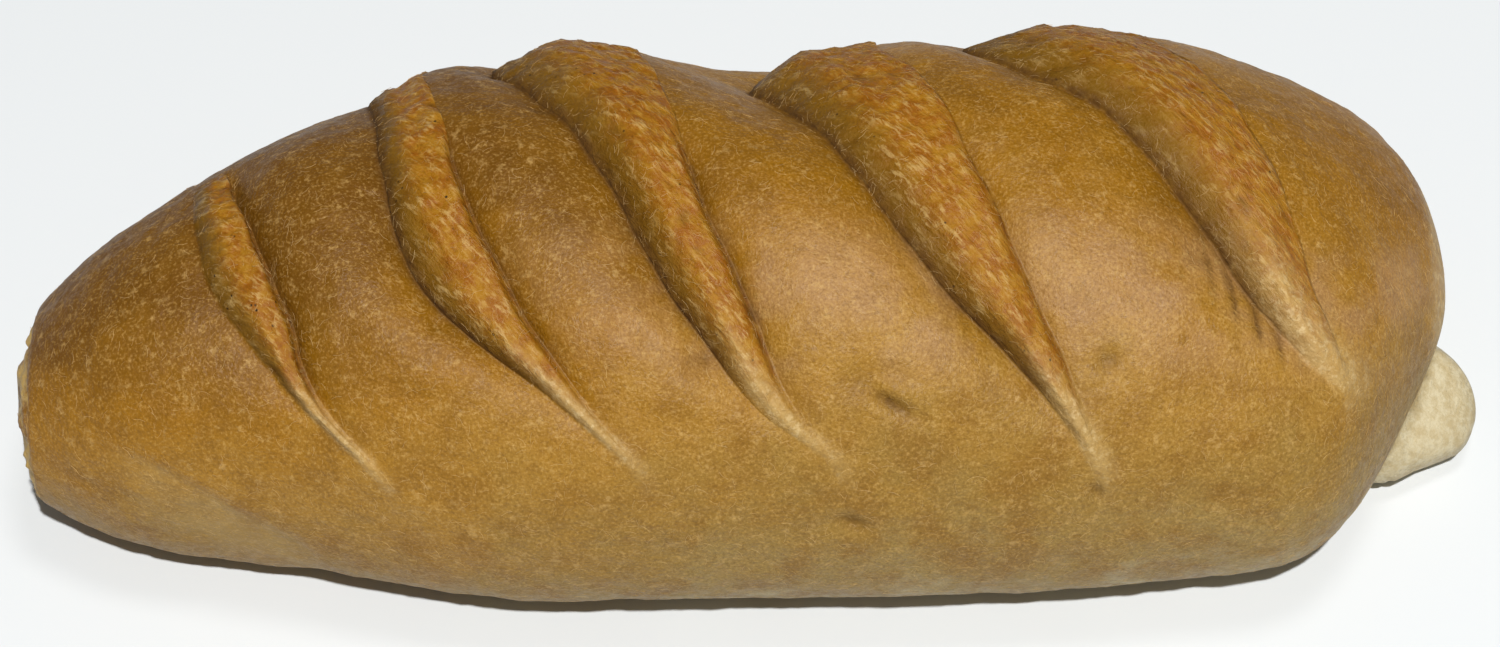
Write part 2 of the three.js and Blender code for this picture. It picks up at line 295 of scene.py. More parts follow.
def band_height(k, angle, share):
    """Height of the torn band, from its left crease (share 0) to its right one."""
    slash = SLASHES[k]
    lifted, dropped = bell(angle, LIFT_ANGLES), bell(angle, DROP_ANGLES)
    low, rise = left_depth(k, angle), slash["rise"]
    crest_at = mix(CREST_SHARE, LIFTED_CREST_SHARE, lifted)
    climb = 1 - (1 - np.clip((share + BAND_START) / crest_at, 0, 1)) ** CLIMB_POWER
    lean = 1 - LEAN * smooth_step(crest_at, 1, share)
    fall = np.clip((share - FALL_SHARE) / (1 - FALL_SHARE), 0, 1) ** FALL_POWER
    torn_dough = (low + rise) * climb - low - rise * (1 - lean)
    torn_dough = torn_dough - (rise * lean + right_depth(k, angle)) * fall
    step = 1 - (1 - np.clip(share / STEP_SHARE, 0, 1)) ** STEP_POWER
    settle = mix(slash["lift"], slash["after"], smooth_step(STEP_SHARE, 1, share))
    tile = mix(-slash["drop"] * dropped, settle * lifted, step)
    return openness(k, angle) * torn_dough + tile


def strip_height(k, x, angle):
    """Height of the smooth strip between slash k - 1 and slash k."""
    start, end = crease_x(k - 1, 1, angle), crease_x(k, -1, angle)
    share = np.clip((x - start) / (end - start), 0, 1)
    open_left, open_right = openness(k - 1, angle), openness(k, angle)
    pillow = np.minimum(open_left, open_right) * PILLOW_HEIGHT * (1 - (2 * share - 1) ** 2)
    high = SLASHES[k - 1]["after"] * bell(angle, LIFT_ANGLES)
    low = -SLASHES[k]["drop"] * bell(angle, DROP_ANGLES)
    return pillow + mix(high, low, 1 - (1 - share) ** TILE_POWER)


def height_past(k, x, angle):
    """Height to the right of slash k, as far as the next slash or the right end."""
    if k + 1 < len(SLASHES):
        return strip_height(k + 1, x, angle) - groove_beside(k + 1, -1, x, angle)
    away = np.maximum(x - crease_x(k, 1, angle), 0)
    return SLASHES[k]["after"] * bell(angle, LIFT_ANGLES) * np.exp(-((away / LAST_TILE_REACH) ** 2))


middle = [float(band_height(k, 65, CREST_SHARE)) for k in range(len(SLASHES))]
print("crests of the torn bands at 65 degrees in mm:", [round(high, 1) for high in middle])

# %% [markdown]
# Two masks follow the slashes.  Creases are painted dark, most of all the left
# one: painted shade where the valley is deep, on top of crust that baked darker
# there.  Where a slash runs out in front the skin has only just split, so there
# it is fresh and pale.

# %% How dark the creases are and how pale the ends
# Crease darkness is painted shade in each valley, together with crust that baked darker there.
LEFT_LINE_REACHES = (1.0, 1.6)  # in mm: outside the band, and inside it
LEFT_LINE = 0.7
LEFT_HALO = 0.28
LEFT_HALO_REACH = 4.5
RIGHT_LINE = 0.6
RIGHT_LINE_REACH = 0.8
RIGHT_HALO = 0.3
RIGHT_HALO_REACH = 3.5
FULLY_DARK_DEPTH = 2.6
FIRST_SLASH_SHADE = 0.5
OTHER_SLASH_SHADE = 1.15

# Degrees past the front end of a slash where the dark begins, and how many
# more it takes to be full.
DARK_START = 2
DARK_SPAN = 18
FRESHNESS = 0.95

# The pale ridge: its middle in degrees past the front end, how it widens below
# that, how far it reaches up and down the slash, and how much of it is left
# beside the left crease.
PALE_START = 13
PALE_WIDENING = 1.3
PALE_WIDENS_OVER = 16
PALE_REACH_DOWN = 15
PALE_REACH_UP = 4
PALE_REACH_UP_PER_MM = 3
PALE_LEFT_SHARE = 0.35
PALE_LEFT_EDGE = (-1.5, 0.7)
PALE_RIDGE_HEIGHT = 0.6

# The skin also split at the right tip, above the lump.
TIP_SPLIT_FROM_TIP = (7, 2)
TIP_SPLIT_ANGLES = (-10, 20)
TIP_SPLIT = 0.9


def near_line(distance, reach):
    return np.exp(-np.abs(distance) / reach)


def crease_shade(k, angle, from_left, from_right):
    """How dark slash k's creases are painted, painted shade and darker bake together, at these
    distances from the two of them.
    """
    outside, inside = LEFT_LINE_REACHES
    left = LEFT_LINE * near_line(from_left, np.where(from_left > 0, inside, outside))
    left = left + LEFT_HALO * near_line(from_left, LEFT_HALO_REACH)
    left = left * (FIRST_SLASH_SHADE if k == 0 else OTHER_SLASH_SHADE)
    right = RIGHT_LINE * near_line(from_right, RIGHT_LINE_REACH)
    right = right + RIGHT_HALO * near_line(from_right, RIGHT_HALO_REACH)
    right = right * np.minimum(right_depth(k, angle) / FULLY_DARK_DEPTH, 1)
    dark_from = SLASHES[k]["ends"][0] + DARK_START
    fresh = 1 - smooth_step(dark_from, dark_from + DARK_SPAN, angle)
    shade = openness(k, angle) * (1 - FRESHNESS * fresh) * np.maximum(left, right)
    return np.minimum(shade, 1)


def pale_ridge(k, angle, from_left, from_right):
    """The pale ridge at the front end of slash k."""
    pale = SLASHES[k]["pale"]
    end = SLASHES[k]["ends"][0] + PALE_START
    spread = pale * mix(1, PALE_WIDENING, smooth_step(end, end - PALE_WIDENS_OVER, angle))
    across = np.exp(-(((from_left + from_right) / 2 / spread) ** 2))
    across = across * mix(PALE_LEFT_SHARE, 1, smooth_step(*PALE_LEFT_EDGE, from_left))
    reach_up = PALE_REACH_UP + PALE_REACH_UP_PER_MM * pale
    reach = np.where(angle > end, reach_up, PALE_REACH_DOWN)
    return np.exp(-(((angle - end) / reach) ** 2)) * across


def tip_split(x, angle):
    """The pale split skin at the right tip."""
    start, full = TIP_SPLIT_FROM_TIP
    along = smooth_step(RIGHT_TIP_X - start, RIGHT_TIP_X - full, x)
    return TIP_SPLIT * along * smooth_step(*TIP_SPLIT_ANGLES, angle)


# %% Height of the crust and the masks that go with it
def crust_relief(x, angle):
    """Height in mm, and masks for the torn bands, creases and pale ridges."""
    zero = np.zeros_like(x)
    height = -groove_beside(0, -1, x, angle)
    masks = dict(torn=zero, crease=zero, pale=zero, across=zero)
    for k in range(len(SLASHES)):
        left, right = crease_x(k, -1, angle), crease_x(k, 1, angle)
        in_band = (x >= left) & (x <= right)
        share = np.clip((x - left) / (right - left), 0, 1)
        height = np.where(in_band, band_height(k, angle, share), height)
        masks["torn"] = np.where(in_band, openness(k, angle), masks["torn"])
        masks["across"] = np.where(in_band, share, masks["across"])
        past = height_past(k, x, angle) - groove_beside(k, 1, x, angle)
        height = np.where(x > right, past, height)
        shade = crease_shade(k, angle, x - left, x - right)
        masks["crease"] = np.maximum(masks["crease"], shade)
        ridge = pale_ridge(k, angle, x - left, x - right)
        masks["pale"] = np.maximum(masks["pale"], ridge)
    masks["pale"] = np.maximum(masks["pale"], tip_split(x, angle))
    return height + PALE_RIDGE_HEIGHT * masks["pale"], masks


# %% [markdown]
# ## The burst lump
#
# At the right end the skin split at the base and a lump of dough pushed out.
# It could be a second mesh pushed into the first, but a seam would show.
# Instead each point near it is pushed out, away from a root inside the loaf,
# until it reaches the skin of the lump.

# %% Push points out to the lump
ALMOST_NOTHING = 1e-6
VERY_FAR = 1e6
LUMP_CENTRE = np.array([131, -5.2, 7.5])
LUMP_RADII = np.array([23.5, 17.5, 20])
LUMP_ROOT = np.array([116, -2, 16])
LUMP_CUTS = [
    # direction a flat side faces, and how far it lies from the centre
    ((0.36, -0.42, 0.83), 14.5),
    ((0.45, -0.89, 0.05), 17.5),
]


def stretch_to_plane(gap, towards):
    """How far to stretch points that lie this far towards a plane to reach it."""
    reached = gap / np.maximum(towards, ALMOST_NOTHING)
    return np.where(towards > 0, reached, VERY_FAR)


def burst_lump(points):
    """The points, pushed out to the lump, and how far each one went."""
    away = points - LUMP_ROOT
    start = (LUMP_ROOT - LUMP_CENTRE) / LUMP_RADII
    along = away / LUMP_RADII
    # Where a ray from the root leaves the egg shape, a quadratic in its length.
    a = (along * along).sum(-1)
    b = (along * start).sum(-1)
    inside = b * b - a * ((start * start).sum() - 1)
    stretch = (-b + np.sqrt(np.maximum(inside, 0))) / a
    for facing, distance in LUMP_CUTS:
        gap = distance - (LUMP_ROOT - LUMP_CENTRE) @ np.array(facing)
        stretch = np.minimum(stretch, stretch_to_plane(gap, away @ np.array(facing)))
    to_floor = stretch_to_plane(LUMP_ROOT[2], -away[..., 2])
    stretch = np.maximum(np.minimum(stretch, to_floor), 1)
    stretch = np.where(inside > 0, stretch, 1)
    moved = LUMP_ROOT + away * stretch[..., None]
    return moved, np.linalg.norm(moved - points, axis=-1)


_, pushed_tip = burst_lump(np.array([[140.0, -6.0, 10.0]]))
print("near the right tip the lump stands out", round(float(pushed_tip[0]), 1), "mm")

# %% [markdown]
# ## The fine skin
#
# The skin is a grid: rings along the loaf and rows around it.  Rings follow
# the creases, and crowd inside the torn bands where the detail is.  The CAD
# solid has the same ribs and creases on a coarser grid, so the two agree.

# %% Lines of the grid
LEFT_END_RINGS = 78
BAND_RINGS = 18
STRIP_RINGS = 42
RIGHT_END_RINGS = 92
BASE_ROWS = 7
LOW_ROWS = 20
CROWN_ROWS = 150
CROWN_SPAN = (8, 152)
END_CROWDING = 0.85
CREASE_CROWDING = 0.45

# Each ring is spread around the loaf as its own foot, where it meets the table,
# asks.  The foot is measured where the ring is this far under the front.
PROBE_ANGLE = -60.0
LONGEST_FOOT_REACH = 0.965


def left_tip(angle):
    return np.full_like(angle, LEFT_TIP_X)


def right_tip(angle):
    return np.full_like(angle, RIGHT_TIP_X)


def crease(k, side):
    """The line of one crease, as a function of the angle."""
    def line(angle):
        return crease_x(k, side, angle)
    return line


def grid_rings():
    """(from line, to line, share) for every ring of the grid."""
    rings = []
    for i in range(LEFT_END_RINGS):
        share = i / LEFT_END_RINGS
        share = mix(share, 1 - np.cos(share * np.pi / 2), END_CROWDING)
        rings.append((left_tip, crease(0, -1), share))
    for k in range(len(SLASHES)):
        for i in range(BAND_RINGS):
            rings.append((crease(k, -1), crease(k, 1), i / BAND_RINGS))
        if k + 1 < len(SLASHES):
            for i in range(STRIP_RINGS):
                share = i / STRIP_RINGS
                share -= CREASE_CROWDING * np.sin(2 * np.pi * share) / (2 * np.pi)
                rings.append((crease(k, 1), crease(k + 1, -1), share))
    for i in range(RIGHT_END_RINGS):
        share = i / RIGHT_END_RINGS
        share = mix(share, np.sin(share * np.pi / 2), END_CROWDING)
        rings.append((crease(len(SLASHES) - 1, 1), right_tip, share))
    return rings


def row_angles(foot):
    """Angles of the rows: the base is coarse and the crown is fine."""
    base_front = np.linspace(-90, foot, BASE_ROWS + 1)[:-1]
    low_front = np.linspace(foot, CROWN_SPAN[0], LOW_ROWS + 1)[:-1]
    crown = np.linspace(*CROWN_SPAN, CROWN_ROWS + 1)[:-1]
    low_back = np.linspace(CROWN_SPAN[1], 180 - foot, LOW_ROWS + 1)[:-1]
    base_back = np.linspace(180 - foot, 270, BASE_ROWS + 1)[:-1]
    return np.concatenate([base_front, low_front, crown, low_back, base_back])


def grid_places():
    """x and angle for every point of the grid."""
    xs, angles = [], []
    probe = np.array([PROBE_ANGLE])
    for from_line, to_line, share in grid_rings():
        _, _, widest, _, belly = ribs_at(mix(from_line(probe), to_line(probe), share))
        reach = np.minimum(LONGEST_FOOT_REACH, widest / np.maximum(belly, ALMOST_NOTHING))
        angle = row_angles(-np.degrees(np.arcsin(reach[0])))
        xs.append(mix(from_line(angle), to_line(angle), share))
        angles.append(angle)
    return np.array(xs), np.array(angles)


GRID_X, GRID_ANGLE = grid_places()
print("rings and rows:", GRID_X.shape)

# %% [markdown]
# ## Small marks
#
# Hand-shaped dough is never even.  Soft noise in a few sizes gives the skin
# its slow lumps.  Sculpting every mark would be lost work each time the shape
# changes, so a handful of them are placed one by one by x and angle: a crescent
# dimple with a raised rim, small dents, wrinkles where the slashes pulled at
# the skin beside them, and a low seam.

# %% Soft noise at points in space
NOISE_VALUES = 4096
NOISE_SHIFT = 100
NOISE_BASE = 500
CELL_KEY = np.array([73856093, 19349663, 83492791])

# Each further layer of noise is this many times smaller and fainter, and the
# sum is brought back to about -1 to 1.
LAYER_SHRINK = 2.1
LAYER_FADE = 1.9
LAYER_SUM = 1.6


def soft_noise(points, size, seed):
    """Smooth noise from -1 to 1 whose lumps are about this size."""
    rng = np.random.default_rng(seed)
    table = rng.uniform(-1, 1, NOISE_VALUES)
    shifted = points / size + rng.uniform(0, NOISE_SHIFT, 3) + NOISE_BASE
    cell = np.floor(shifted).astype(np.int64)
    part = shifted - cell
    part = part * part * (3 - 2 * part)
    total = 0
    for corner in np.ndindex(2, 2, 2):
        step = np.array(corner)
        weight = np.prod(np.where(step == 1, part, 1 - part), axis=-1)
        key = (cell + step) @ CELL_KEY
        total = total + weight * table[np.abs(key) % NOISE_VALUES]
    return total


def layered_noise(points, size, seed, layers=3):
    total = 0
    for layer in range(layers):
        finer = soft_noise(points, size / LAYER_SHRINK**layer, seed + layer)
        total = total + finer / LAYER_FADE**layer
    return total / LAYER_SUM


# %% Dents placed one by one
DIMPLES = [
    # x, angle, long radius, short radius, depth (less than 0 is a rim), turn
    (29.0, 42.5, 4.6, 1.4, 2.2, -35),
    (30.2, 44.8, 3.4, 1.3, -1.2, -32),
    (24.0, 48, 4.0, 2.5, 0.8, 0),
    (71.0, 50, 3.2, 2.6, 1.4, 20),
    (21.5, 15, 4.0, 1.9, 1.5, -20),
    (-8.0, 52, 2.8, 2.0, 1.1, 30),
    (-18.0, 55, 2.2, 1.6, 0.6, 0),
    (90.0, 72, 2.4, 1.8, 1.0, 20),
    (69.6, 21.5, 1.3, 2.3, 1.3, 10),
    (-60.0, 60, 2.6, 1.8, 0.8, 10),
]
DEGREE_MM = 1.0


def dimples(x, angle):
    depth = np.zeros_like(x)
    for centre_x, centre_angle, long, short, deep, turn in DIMPLES:
        east, north = x - centre_x, (angle - centre_angle) * DEGREE_MM
        cos, sin = np.cos(np.radians(turn)), np.sin(np.radians(turn))
        u, v = east * cos + north * sin, north * cos - east * sin
        bowl = np.exp(-((u / long) ** 2) - ((v / short) ** 2))
        depth += deep * bowl
    return depth


dent_depths = dimples(GRID_X, GRID_ANGLE)
print("dents run from", round(dent_depths.min(), 1), "to", round(dent_depths.max(), 1), "mm deep")

# %% Wrinkles beside the last three slashes
WRINKLES = [
    # slash, counted from 0, middle angle, depth, mm from one fold to the next
    (2, 56, 0.3, 3.8),
    (3, 58, 0.5, 3.6),
    (4, 62, 1.3, 4.2),
]
WRINKLE_DISTANCE = 4
WRINKLE_REACH = 5
WRINKLE_SPAN = 11
WRINKLE_LEAN = 50
FOLD_SHARPNESS = 1.3


def pull_wrinkles(x, angle):
    """Small folds where the last slashes pulled at the strips beside them."""
    depth = np.zeros_like(x)
    for k, middle, deep, apart in WRINKLES:
        away = crease_x(k, -1, angle) - x
        near = np.exp(-(((away - WRINKLE_DISTANCE) / WRINKLE_REACH) ** 2)) * (away > 0)
        span = np.exp(-(((angle - middle) / WRINKLE_SPAN) ** 2))
        folds = np.sin(2 * np.pi * (x / apart + angle / WRINKLE_LEAN))
        depth += deep * near * span * np.maximum(folds, 0) ** FOLD_SHARPNESS
    return depth


print("deepest wrinkle:", round(pull_wrinkles(GRID_X, GRID_ANGLE).max(), 1), "mm")

# %% [markdown]
# Torn dough is pulled into ragged threads along the cut.  The noise for it is
# read in a place that is turned along the bands and squeezed, which draws its
# lumps out.  The absolute value of noise has sharp valleys, so one less than
# that has sharp crests, like the edges of torn dough.

# %% Fray of the torn bands
TURN_ALONG = 0.75
TURN_OVER = 0.65
FRAY_DEPTH = 0.95
FRAY_FADE = (0, 0.6)
COARSE_MM, COARSE_SQUEEZE, COARSE_SHARE = 6.5, 0.45, 0.3
CREST_MM, CREST_SQUEEZE, CREST_SHARPNESS, CREST_AMOUNT = 3.6, 0.5, 2.6, 0.5
FINE_MM, FINE_SQUEEZE, FINE_SHARE = 1.2, 0.6, 0.5


def pulled_places(x, angle):
    """How far a point lies along the torn bands and over them, in mm."""
    return angle * TURN_ALONG - x * TURN_OVER, x * TURN_ALONG + angle * TURN_OVER


def frayed_dough(x, angle, share):
    """Sharp-crested noise, drawn out along the torn bands like pulled dough."""
    along, over = pulled_places(x, angle)
    coarse_at = np.stack([over, along * COARSE_SQUEEZE, share * 3], -1)
    crest_at = np.stack([over, along * CREST_SQUEEZE, share], -1)
    fine_at = np.stack([over, along * FINE_SQUEEZE, share], -1)
    coarse = layered_noise(coarse_at, COARSE_MM, 20, 2)
    crests = 1 - CREST_SHARPNESS * np.abs(layered_noise(crest_at, CREST_MM, 30, 3))
    fine = layered_noise(fine_at, FINE_MM, 40, 2)
    return COARSE_SHARE * coarse + CREST_AMOUNT * crests + FINE_SHARE * fine


# %% A low seam on the left front
SEAM_X = [-128, -112, -101, -90, -83]
SEAM_ANGLE = [33, 20, 8, -2, -17]
SEAM_BEGINS = (-134, -110)
SEAM_ENDS = (-92, -78)
SEAM_EDGE = (4, -3)
SEAM_FADES = (-45, -8)
SEAM_DEPTH = 0.9


def seam_step(x, angle):
    """Below the seam the skin steps in and is paler."""
    line = curve_through(SEAM_X, SEAM_ANGLE, x)
    ends = smooth_step(*SEAM_BEGINS, x) * (1 - smooth_step(*SEAM_ENDS, x))
    below = smooth_step(*SEAM_EDGE, angle - line) * smooth_step(*SEAM_FADES, angle - line)
    return ends * below


# %% Unevenness of the whole skin
SKIN_NOISES = [
    # height in mm, size in mm, seed, layers
    (0.6, 34, 1, 2),
    (0.42, 9, 5, 3),
]
LEATHER_HEIGHT = 0.11
LEATHER_MM = (3.6, 2.0)
FINER_LEATHER = 0.7
PIT_MM = 4.5
PIT_DEPTH = 0.55
PIT_START = 0.35


def uneven_skin(plain):
    """Slow lumps, a fine leathery surface and shallow pits."""
    height = sum(high * layered_noise(plain, size, seed, layers)
                 for high, size, seed, layers in SKIN_NOISES)
    leathery = soft_noise(plain, LEATHER_MM[0], 80)
    leathery = leathery + FINER_LEATHER * soft_noise(plain, LEATHER_MM[1], 81)
    pits = np.maximum(soft_noise(plain, PIT_MM, 90) - PIT_START, 0)
    return height + LEATHER_HEIGHT * leathery - PIT_DEPTH * pits


# %% [markdown]
# Two places need a touch of their own.  The lump is knobbly, and tucked in at
# the table so that it throws a thin shadow.  The left tip was torn from the
# loaf that baked beside it, so its skin is ragged and paler there.

# %% Finish the lump and the torn tip
LUMP_EDGE = (0.1, 1.2)
KNOB_HEIGHT = 0.9
KNOB_MM = 12
LUMP_TUCK = 5.5
TUCK_BELOW = 8
SCAR_FROM_TIP = (4, 1)
SCAR_PROUD = 1.5
SCAR_RAGGED = 2.0
SCAR_MM = 4.5
SCAR_PATCH = np.array([-145.5, -17.0, 38.0])
SCAR_PATCH_EDGE = (11, 5)
SCAR_PATCH_SHARE = 0.9


def finish_lump(points, plain, pushed):
    """Knobs on the lump and a tuck under it; also its mask."""
    lump = smooth_step(*LUMP_EDGE, pushed)
    knobbly = KNOB_HEIGHT * layered_noise(plain, KNOB_MM, 60, 2)
    away = points - LUMP_ROOT
    away = away / np.linalg.norm(away, axis=-1, keepdims=True)
    points = points + away * (lump * knobbly)[..., None]
    tucked = lump * smooth_step(TUCK_BELOW, 0, points[..., 2]) * LUMP_TUCK
    points[..., :2] -= away[..., :2] * tucked[..., None]
    return points, lump


def finish_torn_tip(points, plain):
    """A ragged left tip, and a mask of the torn skin there."""
    start, full = SCAR_FROM_TIP
    scar = smooth_step(LEFT_TIP_X + start, LEFT_TIP_X + full, points[..., 0])
    from_patch = np.linalg.norm(points - SCAR_PATCH, axis=-1)
    patch = SCAR_PATCH_SHARE * smooth_step(*SCAR_PATCH_EDGE, from_patch)
    ragged = SCAR_PROUD + SCAR_RAGGED * layered_noise(plain, SCAR_MM, 70, 3)
    points[..., 0] += scar * ragged
    return points, np.maximum(scar, patch)


# %% [markdown]
# Now every point gets its place: plain loaf, plus relief, plus marks, then
# the lump.  Nothing may sink below the table, so z stops at 0.

# %% Places of all the points
SMOOTH_BELOW = 6
SMOOTH_LEFT_TIP = 8
SMOOTH_RIGHT_TIP = 6
DENT_SHADE = 0.42
WRINKLE_SHADE = 0.95
DARKEST_PAINTED_SHADE = 0.75
LOW_SPAN = (14, 4)


def plain_crust(x, angle):
    """Points of the plain loaf, and the way out from each of them."""
    centre, half, widest, rise, belly = ribs_at(x)
    cos, sin = -np.cos(np.radians(angle)), np.sin(np.radians(angle))
    tall = np.where(sin > 0, rise, belly)
    plain = np.stack([x, centre + half * cos, widest + tall * sin], -1)
    out_y, out_z = cos * tall, sin * half
    length = np.maximum(np.hypot(out_y, out_z), ALMOST_NOTHING)
    return plain, np.stack([np.zeros_like(x), out_y / length, out_z / length], -1)


def skin_points(x, angle):
    """Every point of the skin, and the masks for its material."""
    plain, out = plain_crust(x, angle)
    height, masks = crust_relief(x, angle)
    masks["fray"] = frayed_dough(x, angle, masks["across"])
    masks["seam"] = seam_step(x, angle)
    off_base = smooth_step(0, SMOOTH_BELOW, plain[..., 2])
    off_left_tip = smooth_step(LEFT_TIP_X, LEFT_TIP_X + SMOOTH_LEFT_TIP, x)
    off_right_tip = 1 - smooth_step(RIGHT_TIP_X - SMOOTH_RIGHT_TIP, RIGHT_TIP_X, x)
    height = height + off_base * off_left_tip * off_right_tip * uneven_skin(plain)
    height = height + smooth_step(*FRAY_FADE, masks["torn"]) * FRAY_DEPTH * masks["fray"]
    dents, wrinkles = dimples(x, angle), pull_wrinkles(x, angle)
    height = height - dents - wrinkles - SEAM_DEPTH * masks["seam"]
    points = plain + out * height[..., None]
    points[..., 2] = np.maximum(points[..., 2], 0)
    points, pushed = burst_lump(points)
    points, masks["lump"] = finish_lump(points, plain, pushed)
    points, masks["scar"] = finish_torn_tip(points, plain)
    points[..., 2] = np.maximum(points[..., 2], 0)
    # Dents and wrinkles get painted shade as well, as dark as they are deep, laid into the crease
    # mask.
    shaded = np.clip(DENT_SHADE * dents + WRINKLE_SHADE * wrinkles, 0, DARKEST_PAINTED_SHADE)
    masks["crease"] = np.maximum(masks["crease"], shaded)
    masks["low"] = smooth_step(*LOW_SPAN, points[..., 2])
    masks["along"], masks["over"] = pulled_places(x, angle)
    masks["angle"] = angle
    return points, masks


SKIN_POINTS, SKIN_MASKS = skin_points(GRID_X, GRID_ANGLE)
print("skin spans", np.round(np.ptp(SKIN_POINTS.reshape(-1, 3), axis=0), 1), "mm")

# %% [markdown]
# The grid becomes one closed mesh: four-sided faces between the rings, and a
# fan of triangles to close each tip.  It is centred where the CAD solid is,
# and each mask is stored on it as an attribute that a material can read.

# %% Build the skin mesh
LEFT_TIP_PROUD = 0.8
RIGHT_TIP_PROUD = 0.3


def skin_faces(rings, rows):
    """Faces of the grid, with its two tip points last."""
    faces = []
    for i in range(rings - 1):
        for j in range(rows):
            a, b = i * rows + j, i * rows + (j + 1) % rows
            faces.append((a + rows, b + rows, b, a))
    left_index, right_index = rings * rows, rings * rows + 1
    last = (rings - 1) * rows
    for j in range(rows):
        after = (j + 1) % rows
        faces.append((left_index, j, after))
        faces.append((right_index, last + after, last + j))
    return faces


def build_skin(points, masks):
    """The skin as a new object, placed where the CAD solid is."""
    rings, rows, _ = points.shape
    left_end = np.array([LEFT_TIP_X - LEFT_TIP_PROUD, *points[0, :, 1:].mean(0)])
    right_end = points[-1].mean(0) + [RIGHT_TIP_PROUD, 0, 0]
    vertices = np.concatenate([points.reshape(-1, 3), [left_end, right_end]])
    low, high = vertices.min(0), vertices.max(0)
    shift = np.array([*(low[:2] + high[:2]) / 2, 0])
    middle = (np.array(LOAF_LOW) + np.array(LOAF_HIGH)) / 2
    vertices = (vertices - shift) * mm + np.array([middle[0], middle[1], LOAF_LOW.z])
    mesh = bpy.data.meshes.new("loaf_skin")
    mesh.from_pydata(vertices.tolist(), [], skin_faces(rings, rows))
    for name, values in masks.items():
        ends = [values[0].mean(), values[-1].mean()]
        layer = mesh.attributes.new(name, "FLOAT", "POINT")
        layer.data.foreach_set("value", np.concatenate([values.ravel(), ends]).astype(np.float32))
    mesh.update()
    piece = bpy.data.objects.new("loaf_skin", mesh)
    bpy.context.scene.collection.objects.link(piece)
    return piece


loaf_skin = build_skin(SKIN_POINTS, SKIN_MASKS)
loaf_skin.data.polygons.foreach_set("use_smooth", [True] * len(loaf_skin.data.polygons))
print("triangles in the skin:", sum(len(f.vertices) - 2 for f in loaf_skin.data.polygons))

# %% Measure its volume, which is above 0 when its faces point outwards
measured = bmesh.new()
measured.from_mesh(loaf_skin.data)
print("volume in litres:", round(measured.calc_volume(signed=True) * 1000, 3))
measured.free()

# %% [markdown]
# ## Crust material
#
# Crust is dough browned by heat: nearly straw where the loaf touched the
# oven floor, deep brown on the crown, and dark in every crease.  A painted
# picture would not follow the slashes, so the colour is mixed from the masks
# stored on the skin, with fine noise for the grain.  The helpers come first.

# %% Helpers for wiring shader nodes
SCREEN_KNEE = 0.04


def linear(red, green, blue):
    """A colour given as it looks on a screen, 0 to 255, as the shader needs it."""
    parts = np.array([red, green, blue]) / 255
    parts = np.where(parts > SCREEN_KNEE, ((parts + 0.055) / 1.055) ** 2.4, parts / 12.92)
    return (*parts.tolist(), 1.0)


def add_node(tree, kind, **settings):
    made = tree.nodes.new(kind)
    for key, value in settings.items():
        setattr(made, key, value)
    return made


def feed(tree, socket, source):
    """Link a socket into another, or just set its number."""
    if isinstance(source, bpy.types.NodeSocket):
        tree.links.new(source, socket)
    else:
        socket.default_value = source


def maths(tree, operation, first, second=0.0):
    made = add_node(tree, "ShaderNodeMath", operation=operation)
    feed(tree, made.inputs[0], first)
    feed(tree, made.inputs[1], second)
    return made.outputs[0]


def rescale(tree, source, low, high, new_low=0.0, new_high=1.0):
    """Low..high becomes new_low..new_high, clipped and smoothed at both ends."""
    made = add_node(tree, "ShaderNodeMapRange", interpolation_type="SMOOTHSTEP")
    feed(tree, made.inputs["Value"], source)
    made.inputs["From Min"].default_value = low
    made.inputs["From Max"].default_value = high
    made.inputs["To Min"].default_value = new_low
    made.inputs["To Max"].default_value = new_high
    return made.outputs["Result"]


def blend(tree, share, first, second):
    """The first colour, turning into the second as the share goes from 0 to 1."""
    made = add_node(tree, "ShaderNodeMix", data_type="RGBA")
    feed(tree, made.inputs["Factor"], share)
    feed(tree, made.inputs[6], first)
    feed(tree, made.inputs[7], second)
    return made.outputs[2]


# %% Masks, places and noise for the shader
def mask(tree, name):
    return add_node(tree, "ShaderNodeAttribute", attribute_name=name).outputs["Fac"]


def object_place(tree):
    return add_node(tree, "ShaderNodeTexCoord").outputs["Object"]


def noise_at(tree, place, scale, detail, roughness):
    made = add_node(tree, "ShaderNodeTexNoise")
    tree.links.new(place, made.inputs["Vector"])
    made.inputs["Scale"].default_value = scale
    made.inputs["Detail"].default_value = detail
    made.inputs["Roughness"].default_value = roughness
    return made.outputs["Fac"]


def noise(tree, size_mm, detail=3.0, roughness=0.55):
    return noise_at(tree, object_place(tree), 1 / (size_mm * mm), detail, roughness)


def pulled_noise(tree, size_mm, stretch, detail=4.0, roughness=0.7):
    """Noise drawn out along the torn bands, stretch times longer than wide."""
    place = add_node(tree, "ShaderNodeCombineXYZ")
    feed(tree, place.inputs["X"], mask(tree, "over"))
    feed(tree, place.inputs["Y"], maths(tree, "DIVIDE", mask(tree, "along"), stretch))
    return noise_at(tree, place.outputs["Vector"], 1 / size_mm, detail, roughness)


def centred_noise(tree, strength, *look):
    """Noise around 0, this strong."""
    return maths(tree, "MULTIPLY", maths(tree, "SUBTRACT", noise(tree, *look), 0.5), strength)


# %% [markdown]
# The bake is a ramp over how far a point lies from the crown, made uneven by
# slow noise.  Towards the left tip it is pushed on along the ramp: painted shade,
# darker where less light falls.  A ramp keeps all the crust colours in one short
# list, from the pale base to the crown.

# %% How far the crust is baked
CROWN_ANGLE = 103.0
BAKE_SPAN = 140.0
BAKE_AT_CROWN = 0.8
